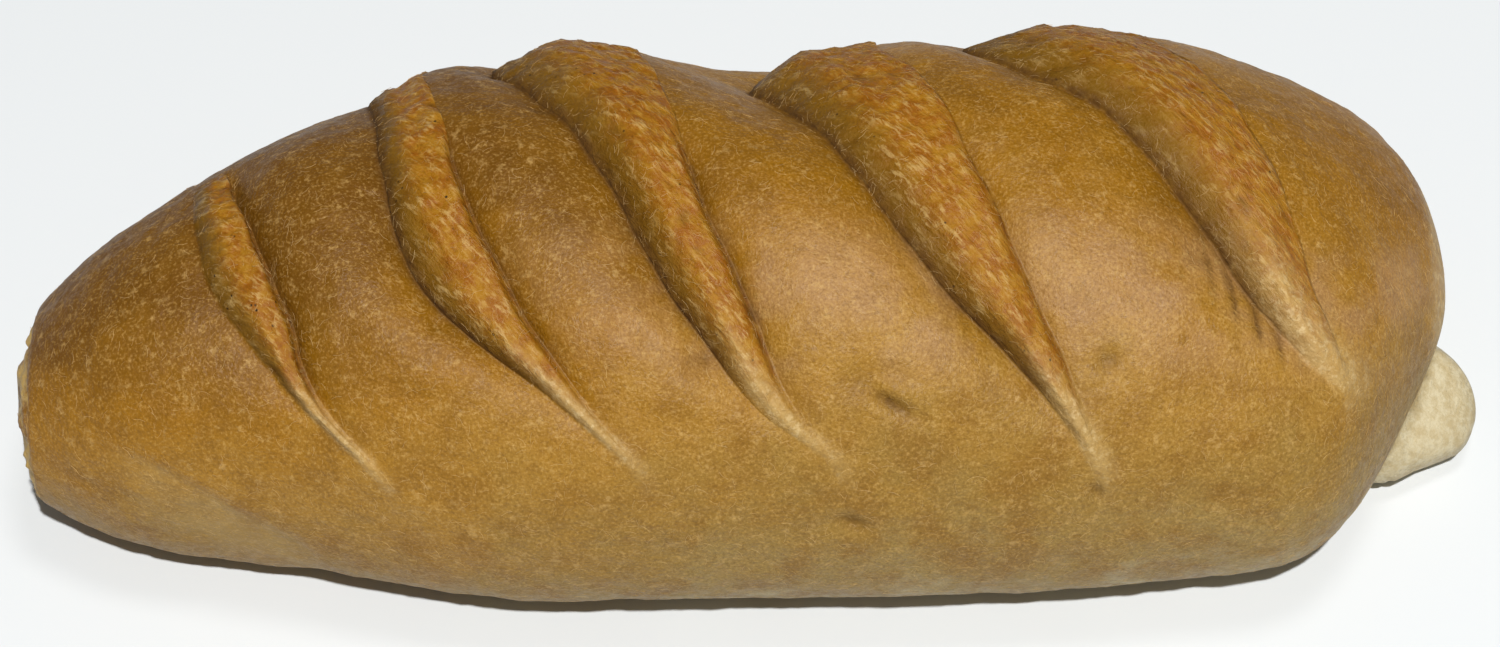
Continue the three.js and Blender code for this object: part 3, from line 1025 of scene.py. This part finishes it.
# Painted shade: darker towards the left tip, where less light falls.
PAINTED_SHADE_TO_LEFT = 0.3
PAINTED_SHADE_LEFT_SPAN = (40 * mm, -110 * mm)
SLOW_BAKE = (0.3, 45, 2.0)
PATCHY_BAKE = (0.42, 14, 3.0, 0.6)
BAKE_STOPS = [
    # share of the bake, colour
    (0.03, (162, 144, 102)),
    (0.12, (142, 117, 62)),
    (0.33, (139, 106, 42)),
    (0.55, (152, 110, 34)),
    (0.78, (140, 94, 4)),
    (1.0, (102, 64, 0)),
]


def place_along(tree):
    """The x of a point."""
    parts = add_node(tree, "ShaderNodeSeparateXYZ")
    tree.links.new(object_place(tree), parts.inputs["Vector"])
    return parts.outputs["X"]


def bake_share(tree, from_crown):
    bake = rescale(tree, from_crown, BAKE_SPAN, 0.0, 0.0, BAKE_AT_CROWN)
    # Painted shade, growing towards the left tip.
    shade_to_left = rescale(tree, place_along(tree), *PAINTED_SHADE_LEFT_SPAN, 0.0, PAINTED_SHADE_TO_LEFT)
    slow = centred_noise(tree, *SLOW_BAKE)
    patchy = centred_noise(tree, *PATCHY_BAKE)
    return maths(tree, "ADD", maths(tree, "ADD", bake, slow), maths(tree, "ADD", shade_to_left, patchy))


def bake_ramp(tree, share):
    ramp = add_node(tree, "ShaderNodeValToRGB")
    tree.links.new(share, ramp.inputs["Fac"])
    stops = ramp.color_ramp.elements
    for stop, (position, colour) in zip((stops[0], stops[-1]), (BAKE_STOPS[0], BAKE_STOPS[-1])):
        stop.position = position
        stop.color = linear(*colour)
    for position, colour in BAKE_STOPS[1:-1]:
        stops.new(position).color = linear(*colour)
    return ramp.outputs["Color"]


# %% [markdown]
# On top of the ramp lie blotches, a painted highlight where a sheen falls on the
# shoulders of the right half, freckles, flecks and a fine grain.  Each is one
# colour, laid on where a noise passes a level, so a list of them is enough.

# %% Baked colour
BLOTCH = (8, 4.0, 0.6, 0.42, 0.68, 0.55, (120, 80, 10))
GRAINS = [
    # noise size in mm, detail, roughness, level it starts and is full, share, colour
    (4.0, 4.0, 0.65, 0.46, 0.3, 0.45, (122, 84, 24)),
    (2.2, 4.0, 0.7, 0.54, 0.7, 0.4, (190, 154, 92)),
    (0.6, 2.0, 0.6, 0.5, 0.72, 0.36, (192, 152, 84)),
    (0.6, 2.0, 0.6, 0.5, 0.28, 0.4, (98, 64, 6)),
]
# Painted highlight: a light sheen in patches on the shoulders, only on the right half.
PAINTED_SHEEN_COLOUR = linear(184, 146, 108)
PAINTED_SHEEN_NEAR_SHOULDER = (60.0, 45.0)
PAINTED_SHEEN_OFF_CROWN = (18.0, 34.0)
PAINTED_SHEEN_TO_RIGHT = (-70 * mm, 0.0, 0.0, 0.3)
PAINTED_SHEEN_PATCH_MM = 16
PAINTED_SHEEN_PATCH_LEVELS = (0.35, 0.6)


def lay_noise(tree, colour, layer):
    """The colour, with another laid on where a noise passes a level."""
    size_mm, detail, roughness, starts, full, share, laid = layer
    level = noise(tree, size_mm, detail, roughness)
    return blend(tree, rescale(tree, level, starts, full, 0.0, share), colour, linear(*laid))


# Share of the painted highlight: the shoulders, the right half, in patches.
def painted_sheen_share(tree, from_crown):
    near_shoulder = rescale(tree, from_crown, *PAINTED_SHEEN_NEAR_SHOULDER)
    off_crown = rescale(tree, from_crown, *PAINTED_SHEEN_OFF_CROWN)
    brighter_to_right = rescale(tree, place_along(tree), *PAINTED_SHEEN_TO_RIGHT)
    patches = rescale(tree, noise(tree, PAINTED_SHEEN_PATCH_MM, 3.0), *PAINTED_SHEEN_PATCH_LEVELS)
    sheen_share = maths(tree, "MULTIPLY", near_shoulder, off_crown)
    sheen_share = maths(tree, "MULTIPLY", sheen_share, brighter_to_right)
    return maths(tree, "MULTIPLY", sheen_share, patches)


def baked_colour(tree):
    from_crown = maths(tree, "SUBTRACT", mask(tree, "angle"), CROWN_ANGLE)
    from_crown = maths(tree, "ABSOLUTE", from_crown)
    colour = bake_ramp(tree, bake_share(tree, from_crown))
    colour = lay_noise(tree, colour, BLOTCH)
    colour = blend(tree, painted_sheen_share(tree, from_crown), colour, PAINTED_SHEEN_COLOUR)
    for layer in GRAINS:
        colour = lay_noise(tree, colour, layer)
    return colour


# %% [markdown]
# The torn bands take their colour from the same fray that shapes them: straw on
# the frayed edges, orange in between, and painted shade, dark and olive, in the
# hollows and on each band's left slope down into its crease.  A few pores where gas
# broke through are painted black, as shade inside holes that the mesh doesn't have.
# In each range below the first two numbers say where it starts and is full, the
# next two how strong it is there.

# %% Torn colour
STREAK_MM = 0.9
STREAK_STRETCH = 4.0
TORN_DULL = linear(140, 80, 2)
TORN_BRIGHT = linear(160, 110, 16)
TORN_PATCH_NOISE = (4.0, 4.0, 0.7)
TORN_PATCH_LEVELS = (0.35, 0.65)
LIGHT_STREAK = linear(188, 146, 68)
LIGHT_STREAK_RANGE = (0.5, 0.64, 0.0, 0.4)
DARK_STREAK = linear(110, 70, 6)
DARK_STREAK_RANGE = (0.46, 0.34, 0.0, 0.42)
# Painted shade, olive, on each band's left slope down into its crease.
SLOPE_SHADE_OLIVE = linear(108, 76, 8)
SLOPE_SHADE_RANGE = (0.55, 0.1, 0.0, 0.9)
EDGE_STRAW = linear(206, 174, 112)
EDGE_FRAY = (0.1, 0.7)
EDGE_STREAKS = (0.48, 0.6)
EDGE_SHARE = 0.42
# Painted shade in the hollows of the fray.
HOLLOW_SHADE_BROWN = linear(92, 56, 2)
HOLLOW_SHADE_RANGE = (0.0, -0.7, 0.0, 0.65)
# Painted shade of pores: dark spots where holes would be, though the mesh has none.
PORE_SHADE_COLOUR = linear(36, 20, 2)
PORE_MM = 2.6
PORE_EDGE = (0.16, 0.06)
PORE_CLUSTER_MM = 11
PORE_CLUSTERS = (0.54, 0.62)


def pores(tree):
    """Painted shade of small round holes that the mesh doesn't have, only where a slower noise lets
    them cluster.
    """
    cells = add_node(tree, "ShaderNodeTexVoronoi")
    tree.links.new(object_place(tree), cells.inputs["Vector"])
    cells.inputs["Scale"].default_value = 1 / (PORE_MM * mm)
    holes = rescale(tree, cells.outputs["Distance"], *PORE_EDGE)
    clusters = rescale(tree, noise(tree, PORE_CLUSTER_MM, 2.0), *PORE_CLUSTERS)
    return maths(tree, "MULTIPLY", holes, clusters)


def torn_colour(tree):
    fray = mask(tree, "fray")
    streaks = pulled_noise(tree, STREAK_MM, STREAK_STRETCH)
    patches = rescale(tree, noise(tree, *TORN_PATCH_NOISE), *TORN_PATCH_LEVELS)
    orange = blend(tree, patches, TORN_DULL, TORN_BRIGHT)
    orange = blend(tree, rescale(tree, streaks, *LIGHT_STREAK_RANGE), orange, LIGHT_STREAK)
    orange = blend(tree, rescale(tree, streaks, *DARK_STREAK_RANGE), orange, DARK_STREAK)
    # Painted shade on the band's left slope.
    slope = rescale(tree, mask(tree, "across"), *SLOPE_SHADE_RANGE)
    orange = blend(tree, slope, orange, SLOPE_SHADE_OLIVE)
    edges = rescale(tree, streaks, *EDGE_STREAKS)
    edges = maths(tree, "MULTIPLY", rescale(tree, fray, *EDGE_FRAY), edges)
    orange = blend(tree, maths(tree, "MULTIPLY", edges, EDGE_SHARE), orange, EDGE_STRAW)
    # Painted shade in the fray's hollows.
    orange = blend(tree, rescale(tree, fray, *HOLLOW_SHADE_RANGE), orange, HOLLOW_SHADE_BROWN)
    return blend(tree, pores(tree), orange, PORE_SHADE_COLOUR)


# %% [markdown]
# The marks come last, because they cross both the baked and the torn crust.
# None of them is even on a real loaf, so each mask is broken up by a noise.

# %% Crease shade and bake, pale ridges, seam, torn tip and lump
# Painted shade in the creases, together with the darker crust baked there.
CREASE_SHADE_AND_BAKE_BROWN = linear(78, 48, 6)
CREASE_RANGE = (0.05, 1.0, 0.0, 0.92)
CREASE_NOISE = (2.2, 4.0, 0.6)
CREASE_BREAKS = (0.3, 0.65, 0.55, 1.0)
RIDGE_PALE = linear(190, 160, 104)
RIDGE_RANGE = (0.0, 1.0, 0.0, 0.62)
RIDGE_NOISE = (2.5, 3.0)
RIDGE_BREAKS = (0.3, 0.65, 0.55, 1.0)
RIDGE_FLECK = linear(224, 200, 150)
FLECK_NOISE = (1.6, 4.0, 0.7)
FLECK_BREAKS = (0.5, 0.62, 0.0, 0.6)
SEAM_STRAW = linear(170, 144, 88)
SEAM_RANGE = (0.0, 1.0, 0.0, 0.35)
SEAM_NOISE = (9.0, 4.0)
SEAM_BREAKS = (0.3, 0.6, 0.4, 1.0)
SCAR_STRAW = linear(178, 146, 82)
SCAR_NOISE = (5.0, 4.0)
SCAR_BREAKS = (0.4, 0.55)
LUMP_CREAM = linear(180, 162, 122)
LUMP_PALE = linear(199, 186, 152)
LUMP_NOISE = (2.2, 5.0, 0.7)
LUMP_LEVELS = (0.35, 0.65)


def broken_up(tree, strength, look, breaks):
    """A strength, made less wherever this noise is low."""
    return maths(tree, "MULTIPLY", strength, rescale(tree, noise(tree, *look), *breaks))


def with_marks(tree, colour):
    # Painted shade and darker bake along creases, dents and wrinkles.
    crease = rescale(tree, mask(tree, "crease"), *CREASE_RANGE)
    crease = broken_up(tree, crease, CREASE_NOISE, CREASE_BREAKS)
    colour = blend(tree, crease, colour, CREASE_SHADE_AND_BAKE_BROWN)
    pale = rescale(tree, mask(tree, "pale"), *RIDGE_RANGE)
    pale = broken_up(tree, pale, RIDGE_NOISE, RIDGE_BREAKS)
    colour = blend(tree, pale, colour, RIDGE_PALE)
    flecks = broken_up(tree, pale, FLECK_NOISE, FLECK_BREAKS)
    colour = blend(tree, flecks, colour, RIDGE_FLECK)
    seam = rescale(tree, mask(tree, "seam"), *SEAM_RANGE)
    seam = broken_up(tree, seam, SEAM_NOISE, SEAM_BREAKS)
    colour = blend(tree, seam, colour, SEAM_STRAW)
    scar = broken_up(tree, mask(tree, "scar"), SCAR_NOISE, SCAR_BREAKS)
    colour = blend(tree, scar, colour, SCAR_STRAW)
    crumb = rescale(tree, noise(tree, *LUMP_NOISE), *LUMP_LEVELS)
    lump = blend(tree, crumb, LUMP_CREAM, LUMP_PALE)
    return blend(tree, mask(tree, "lump"), colour, lump)


# %% [markdown]
# A baked crust shines a little, and its creases don't.  The finest pits are
# too small for the mesh, so a bump bends the light on them instead: it costs
# no triangles, and at that size the outline doesn't miss them.

# %% Surface of the crust
SPECULAR_LEVEL = 0.26
TORN_RANGE = (0.1, 0.8, 0.0, 0.9)
SHEEN_MM = 2.0
SHEEN_RANGE = (0.3, 0.7, 0.42, 0.6)
CREASE_ROUGHNESS = 0.95
BUMP_STRENGTH = 0.5
BUMP_DISTANCE = 0.6 * mm
PIT_NOISE = (0.7, 3.0, 0.6)
PIT_BUMP = 0.9
WAVE_NOISE = (3.0, 4.0, 0.6)
WAVE_BUMP = 1.3
FLAKE_BUMP = 2.6
FIBRE_STRAW = linear(226, 190, 132)


def crust_roughness(tree):
    sheen = rescale(tree, noise(tree, SHEEN_MM), *SHEEN_RANGE)
    dull = maths(tree, "MULTIPLY", mask(tree, "crease"), CREASE_ROUGHNESS)
    return maths(tree, "MAXIMUM", sheen, dull)


def crust_bump(tree):
    """A surface direction bent by pits, slow waves and flakes of torn dough."""
    bump = add_node(tree, "ShaderNodeBump")
    bump.inputs["Strength"].default_value = BUMP_STRENGTH
    bump.inputs["Distance"].default_value = BUMP_DISTANCE
    pitted = maths(tree, "MULTIPLY", noise(tree, *PIT_NOISE), PIT_BUMP)
    wavy = maths(tree, "MULTIPLY", noise(tree, *WAVE_NOISE), WAVE_BUMP)
    streaks = pulled_noise(tree, STREAK_MM, STREAK_STRETCH)
    flaky = maths(tree, "MULTIPLY", streaks, mask(tree, "torn"))
    wavy = maths(tree, "ADD", wavy, maths(tree, "MULTIPLY", flaky, FLAKE_BUMP))
    tree.links.new(maths(tree, "ADD", pitted, wavy), bump.inputs["Height"])
    return bump.outputs["Normal"]


def crust_material(name, paler):
    """Baked crust; paler, from 0 to 1, bleaches it for the fibres."""
    material = bpy.data.materials.new(name)
    material.use_nodes = True
    tree = material.node_tree
    shader = tree.nodes["Principled BSDF"]
    torn = rescale(tree, mask(tree, "torn"), *TORN_RANGE)
    colour = blend(tree, torn, baked_colour(tree), torn_colour(tree))
    colour = with_marks(tree, colour)
    colour = blend(tree, paler, colour, FIBRE_STRAW)
    tree.links.new(colour, shader.inputs["Base Color"])
    tree.links.new(crust_roughness(tree), shader.inputs["Roughness"])
    tree.links.new(crust_bump(tree), shader.inputs["Normal"])
    shader.inputs["Specular IOR Level"].default_value = SPECULAR_LEVEL
    return material


baked_crust = crust_material("baked_crust", 0.0)
loaf_skin.data.materials.append(baked_crust)
print("nodes in the crust material:", len(baked_crust.node_tree.nodes))

# %% [markdown]
# ## Fibres
#
# Look closely at crust and it is covered with short pale fibres, bits of
# stretched dough that dried.  Placing thousands by hand is hopeless and a
# texture stays flat at the outline, so Geometry Nodes scatters small bent
# fibres over the skin.  The tree says where they stand, what one looks like,
# and how each is turned and sized.  There are more of them on torn dough and
# none on the lump or down at the base.

# %% Where the fibres stand
MORE_WHEN_TORN = 0.9


def named_attribute(tree, name):
    made = add_node(tree, "GeometryNodeInputNamedAttribute", data_type="FLOAT")
    made.inputs["Name"].default_value = name
    return made.outputs["Attribute"]


def fibre_places(tree, given):
    """A node that scatters points over the skin, given the tree's inputs."""
    torn, low, lump = (named_attribute(tree, name) for name in ("torn", "low", "lump"))
    more = maths(tree, "ADD", maths(tree, "MULTIPLY", torn, MORE_WHEN_TORN), 1.0)
    fewer = maths(tree, "SUBTRACT", maths(tree, "SUBTRACT", 1.0, low), lump)
    share = maths(tree, "MULTIPLY", more, maths(tree, "MAXIMUM", fewer, 0.0))
    density = maths(tree, "MULTIPLY", share, given["Per Square Metre"])
    scatter = add_node(tree, "GeometryNodeDistributePointsOnFaces")
    feed(tree, scatter.inputs["Mesh"], given["Skin"])
    feed(tree, scatter.inputs["Density"], density)
    feed(tree, scatter.inputs["Seed"], given["Seed"])
    return scatter


# %% One bent fibre
FIBRE_SIDES = 3
FIBRE_STEPS = 3
FIBRE_BEND = 0.8


def one_fibre(tree, given):
    """A thin arc, moved back so that its middle is where it is placed."""
    arc = add_node(tree, "GeometryNodeCurveArc")
    arc.inputs["Resolution"].default_value = FIBRE_STEPS
    feed(tree, arc.inputs["Radius"], maths(tree, "DIVIDE", given["Length"], FIBRE_BEND))
    arc.inputs["Start Angle"].default_value = -FIBRE_BEND / 2
    arc.inputs["Sweep Angle"].default_value = FIBRE_BEND
    circle = add_node(tree, "GeometryNodeCurvePrimitiveCircle")
    circle.inputs["Resolution"].default_value = FIBRE_SIDES
    feed(tree, circle.inputs["Radius"], maths(tree, "DIVIDE", given["Thickness"], 2.0))
    fibre = add_node(tree, "GeometryNodeCurveToMesh")
    feed(tree, fibre.inputs["Curve"], arc.outputs["Curve"])
    feed(tree, fibre.inputs["Profile Curve"], circle.outputs["Curve"])
    fibre.inputs["Fill Caps"].default_value = True
    back = add_node(tree, "ShaderNodeCombineXYZ")
    feed(tree, back.inputs["X"], maths(tree, "DIVIDE", given["Length"], -FIBRE_BEND))
    centred = add_node(tree, "GeometryNodeTransform")
    feed(tree, centred.inputs["Geometry"], fibre.outputs["Mesh"])
    feed(tree, centred.inputs["Translation"], back.outputs["Vector"])
    return centred.outputs["Geometry"]


# %% How each fibre is turned and sized
SHORTEST = 0.4
LONGEST = 1.3


def fibre_turn(tree, given, scatter):
    """Flat on the skin, and turned on it at random."""
    turn = add_node(tree, "FunctionNodeRandomValue", data_type="FLOAT_VECTOR")
    turn.inputs["Min"].default_value = (0, 0, 0)
    turn.inputs["Max"].default_value = (0, 0, FULL_TURN)
    feed(tree, turn.inputs["Seed"], given["Seed"])
    rotation = add_node(tree, "FunctionNodeRotateRotation", rotation_space="LOCAL")
    feed(tree, rotation.inputs["Rotation"], scatter.outputs["Rotation"])
    feed(tree, rotation.inputs["Rotate By"], turn.outputs["Value"])
    return rotation.outputs["Rotation"]


def fibre_size(tree, given):
    size = add_node(tree, "FunctionNodeRandomValue", data_type="FLOAT")
    size.inputs[2].default_value = SHORTEST
    size.inputs[3].default_value = LONGEST
    feed(tree, size.inputs["Seed"], given["Seed"])
    return size.outputs[1]


# %% The whole tree
def fibre_tree():
    tree = bpy.data.node_groups.new("scatter_fibres", "GeometryNodeTree")
    tree.is_modifier = True
    new_socket = tree.interface.new_socket
    new_socket("Skin", in_out="INPUT", socket_type="NodeSocketGeometry")
    for name in ("Length", "Thickness", "Per Square Metre"):
        new_socket(name, in_out="INPUT", socket_type="NodeSocketFloat")
    new_socket("Seed", in_out="INPUT", socket_type="NodeSocketInt")
    new_socket("Material", in_out="INPUT", socket_type="NodeSocketMaterial")
    new_socket("Fibres", in_out="OUTPUT", socket_type="NodeSocketGeometry")
    given = add_node(tree, "NodeGroupInput").outputs

    scatter = fibre_places(tree, given)
    place = add_node(tree, "GeometryNodeInstanceOnPoints")
    feed(tree, place.inputs["Points"], scatter.outputs["Points"])
    feed(tree, place.inputs["Instance"], one_fibre(tree, given))
    feed(tree, place.inputs["Rotation"], fibre_turn(tree, given, scatter))
    feed(tree, place.inputs["Scale"], fibre_size(tree, given))
    real = add_node(tree, "GeometryNodeRealizeInstances")
    feed(tree, real.inputs["Geometry"], place.outputs["Instances"])
    dressed = add_node(tree, "GeometryNodeSetMaterial")
    feed(tree, dressed.inputs["Geometry"], real.outputs["Geometry"])
    feed(tree, dressed.inputs["Material"], given["Material"])
    result = add_node(tree, "NodeGroupOutput")
    feed(tree, result.inputs["Fibres"], dressed.outputs["Geometry"])
    return tree


# %% [markdown]
# The lengths, the number and the seed are inputs of the tree, so one look can
# be tried after another.  The same seed gives the same fibres each time.  The
# result is kept as a plain mesh, which anything can read without the tree.

# %% Scatter the fibres and keep a plain mesh
FIBRE_PALENESS = 0.44


def scatter_fibres(skin, settings):
    """A new piece of fibres over the skin, made by the tree above."""
    piece = bpy.data.objects.new("crust_fibres", skin.data.copy())
    bpy.context.scene.collection.objects.link(piece)
    modifier = piece.modifiers.new("fibres", "NODES")
    modifier.node_group = fibre_tree()
    for socket in modifier.node_group.interface.items_tree:
        if socket.in_out == "INPUT" and socket.name in settings:
            modifier[socket.identifier] = settings[socket.name]
    graph = bpy.context.evaluated_depsgraph_get()
    plain = bpy.data.meshes.new_from_object(piece.evaluated_get(graph))
    piece.modifiers.remove(modifier)
    piece.data = plain
    return piece


crust_fibres = scatter_fibres(loaf_skin, {
    "Length": 2.0 * mm,
    "Thickness": 0.08 * mm,
    "Per Square Metre": 150000.0,
    "Seed": 7,
    "Material": crust_material("pale_fibre", FIBRE_PALENESS),
})
print("triangles in the fibres:", sum(len(f.vertices) - 2 for f in crust_fibres.data.polygons))

# %% [markdown]
# Both pieces are the loaf's crust, so both ride on the loaf's body and take
# the CAD solid's place.

# %% Hang the pieces on the frame
for piece in (loaf_skin, crust_fibres):
    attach(piece, "root")
    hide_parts("loaf")

# %% [markdown]
# ## Floor, light and camera
#
# The loaf rests on a large pale sheet that hardly shines.  It is only a stage
# and isn't part of the loaf.

# %% Floor
FLOOR_HALF = 1.6
FLOOR_COLOUR = (0.70, 0.72, 0.725, 1)
FLOOR_ROUGHNESS = 0.8
FLOOR_SPECULAR = 0.1


def pale_floor():
    corners = [(-1, -1), (1, -1), (1, 1), (-1, 1)]
    mesh = bpy.data.meshes.new("floor")
    places = [(x * FLOOR_HALF, y * FLOOR_HALF, LOAF_LOW.z) for x, y in corners]
    mesh.from_pydata(places, [], [(0, 1, 2, 3)])
    material = bpy.data.materials.new("pale_floor")
    material.use_nodes = True
    shader = material.node_tree.nodes["Principled BSDF"]
    shader.inputs["Base Color"].default_value = FLOOR_COLOUR
    shader.inputs["Roughness"].default_value = FLOOR_ROUGHNESS
    shader.inputs["Specular IOR Level"].default_value = FLOOR_SPECULAR
    mesh.materials.append(material)
    piece = bpy.data.objects.new("floor", mesh)
    bpy.context.scene.collection.objects.link(piece)
    return piece


floor = pale_floor()

# %% [markdown]
# The camera looks down at the loaf from the front, with a long lens, so the
# loaf is hardly distorted.

# %% Camera
CAMERA_ELEVATION = np.radians(55)
CAMERA_DISTANCE = 862 * mm
LOOK_AT = Vector((-1.8 * mm, -1.0 * mm, 33 * mm))


def from_front(elevation):
    """The direction from the loaf up to the front."""
    return Vector((0, -np.cos(elevation), np.sin(elevation)))


away = from_front(CAMERA_ELEVATION)
camera = bpy.data.objects.new("camera", bpy.data.cameras.new("camera"))
camera.data.lens = 100
camera.data.sensor_width = 36
camera.location = LOOK_AT + away * CAMERA_DISTANCE
camera.rotation_euler = (-away).to_track_quat("-Z", "Y").to_euler()
bpy.context.scene.collection.objects.link(camera)
bpy.context.scene.camera = camera

# %% [markdown]
# A small key lamp high in front gives the thin hard shadow under the loaf and
# the dark creases.  A wide weak lamp overhead and a faint sky keep the shaded
# side readable.

# %% Light
KEY_ELEVATION = np.radians(65)
KEY_DISTANCE = 2.0
KEY_ASIDE = Vector((0.12, 0, 0))
KEY_SIZE = 0.06
KEY_WATTS = 46
FILL_FROM_LOAF = Vector((0.2, 0.0, 1.9))
FILL_SIZE = 0.4
FILL_WATTS = 6
SKY_COLOUR = (0.97, 0.98, 1.0, 1)
SKY_STRENGTH = 0.12


def area_light(name, place, size, power):
    data = bpy.data.lights.new(name, "AREA")
    data.shape = "DISK"
    data.size = size
    data.energy = power
    lamp = bpy.data.objects.new(name, data)
    lamp.location = place
    lamp.rotation_euler = (LOOK_AT - place).to_track_quat("-Z", "Y").to_euler()
    bpy.context.scene.collection.objects.link(lamp)


key_place = LOOK_AT + from_front(KEY_ELEVATION) * KEY_DISTANCE + KEY_ASIDE
area_light("key", key_place, KEY_SIZE, KEY_WATTS)
area_light("fill", LOOK_AT + FILL_FROM_LOAF, FILL_SIZE, FILL_WATTS)
world = bpy.data.worlds.new("studio")
bpy.context.scene.world = world
world.use_nodes = True
sky = world.node_tree.nodes["Background"]
sky.inputs["Color"].default_value = SKY_COLOUR
sky.inputs["Strength"].default_value = SKY_STRENGTH
bpy.context.scene.view_settings.view_transform = "Standard"
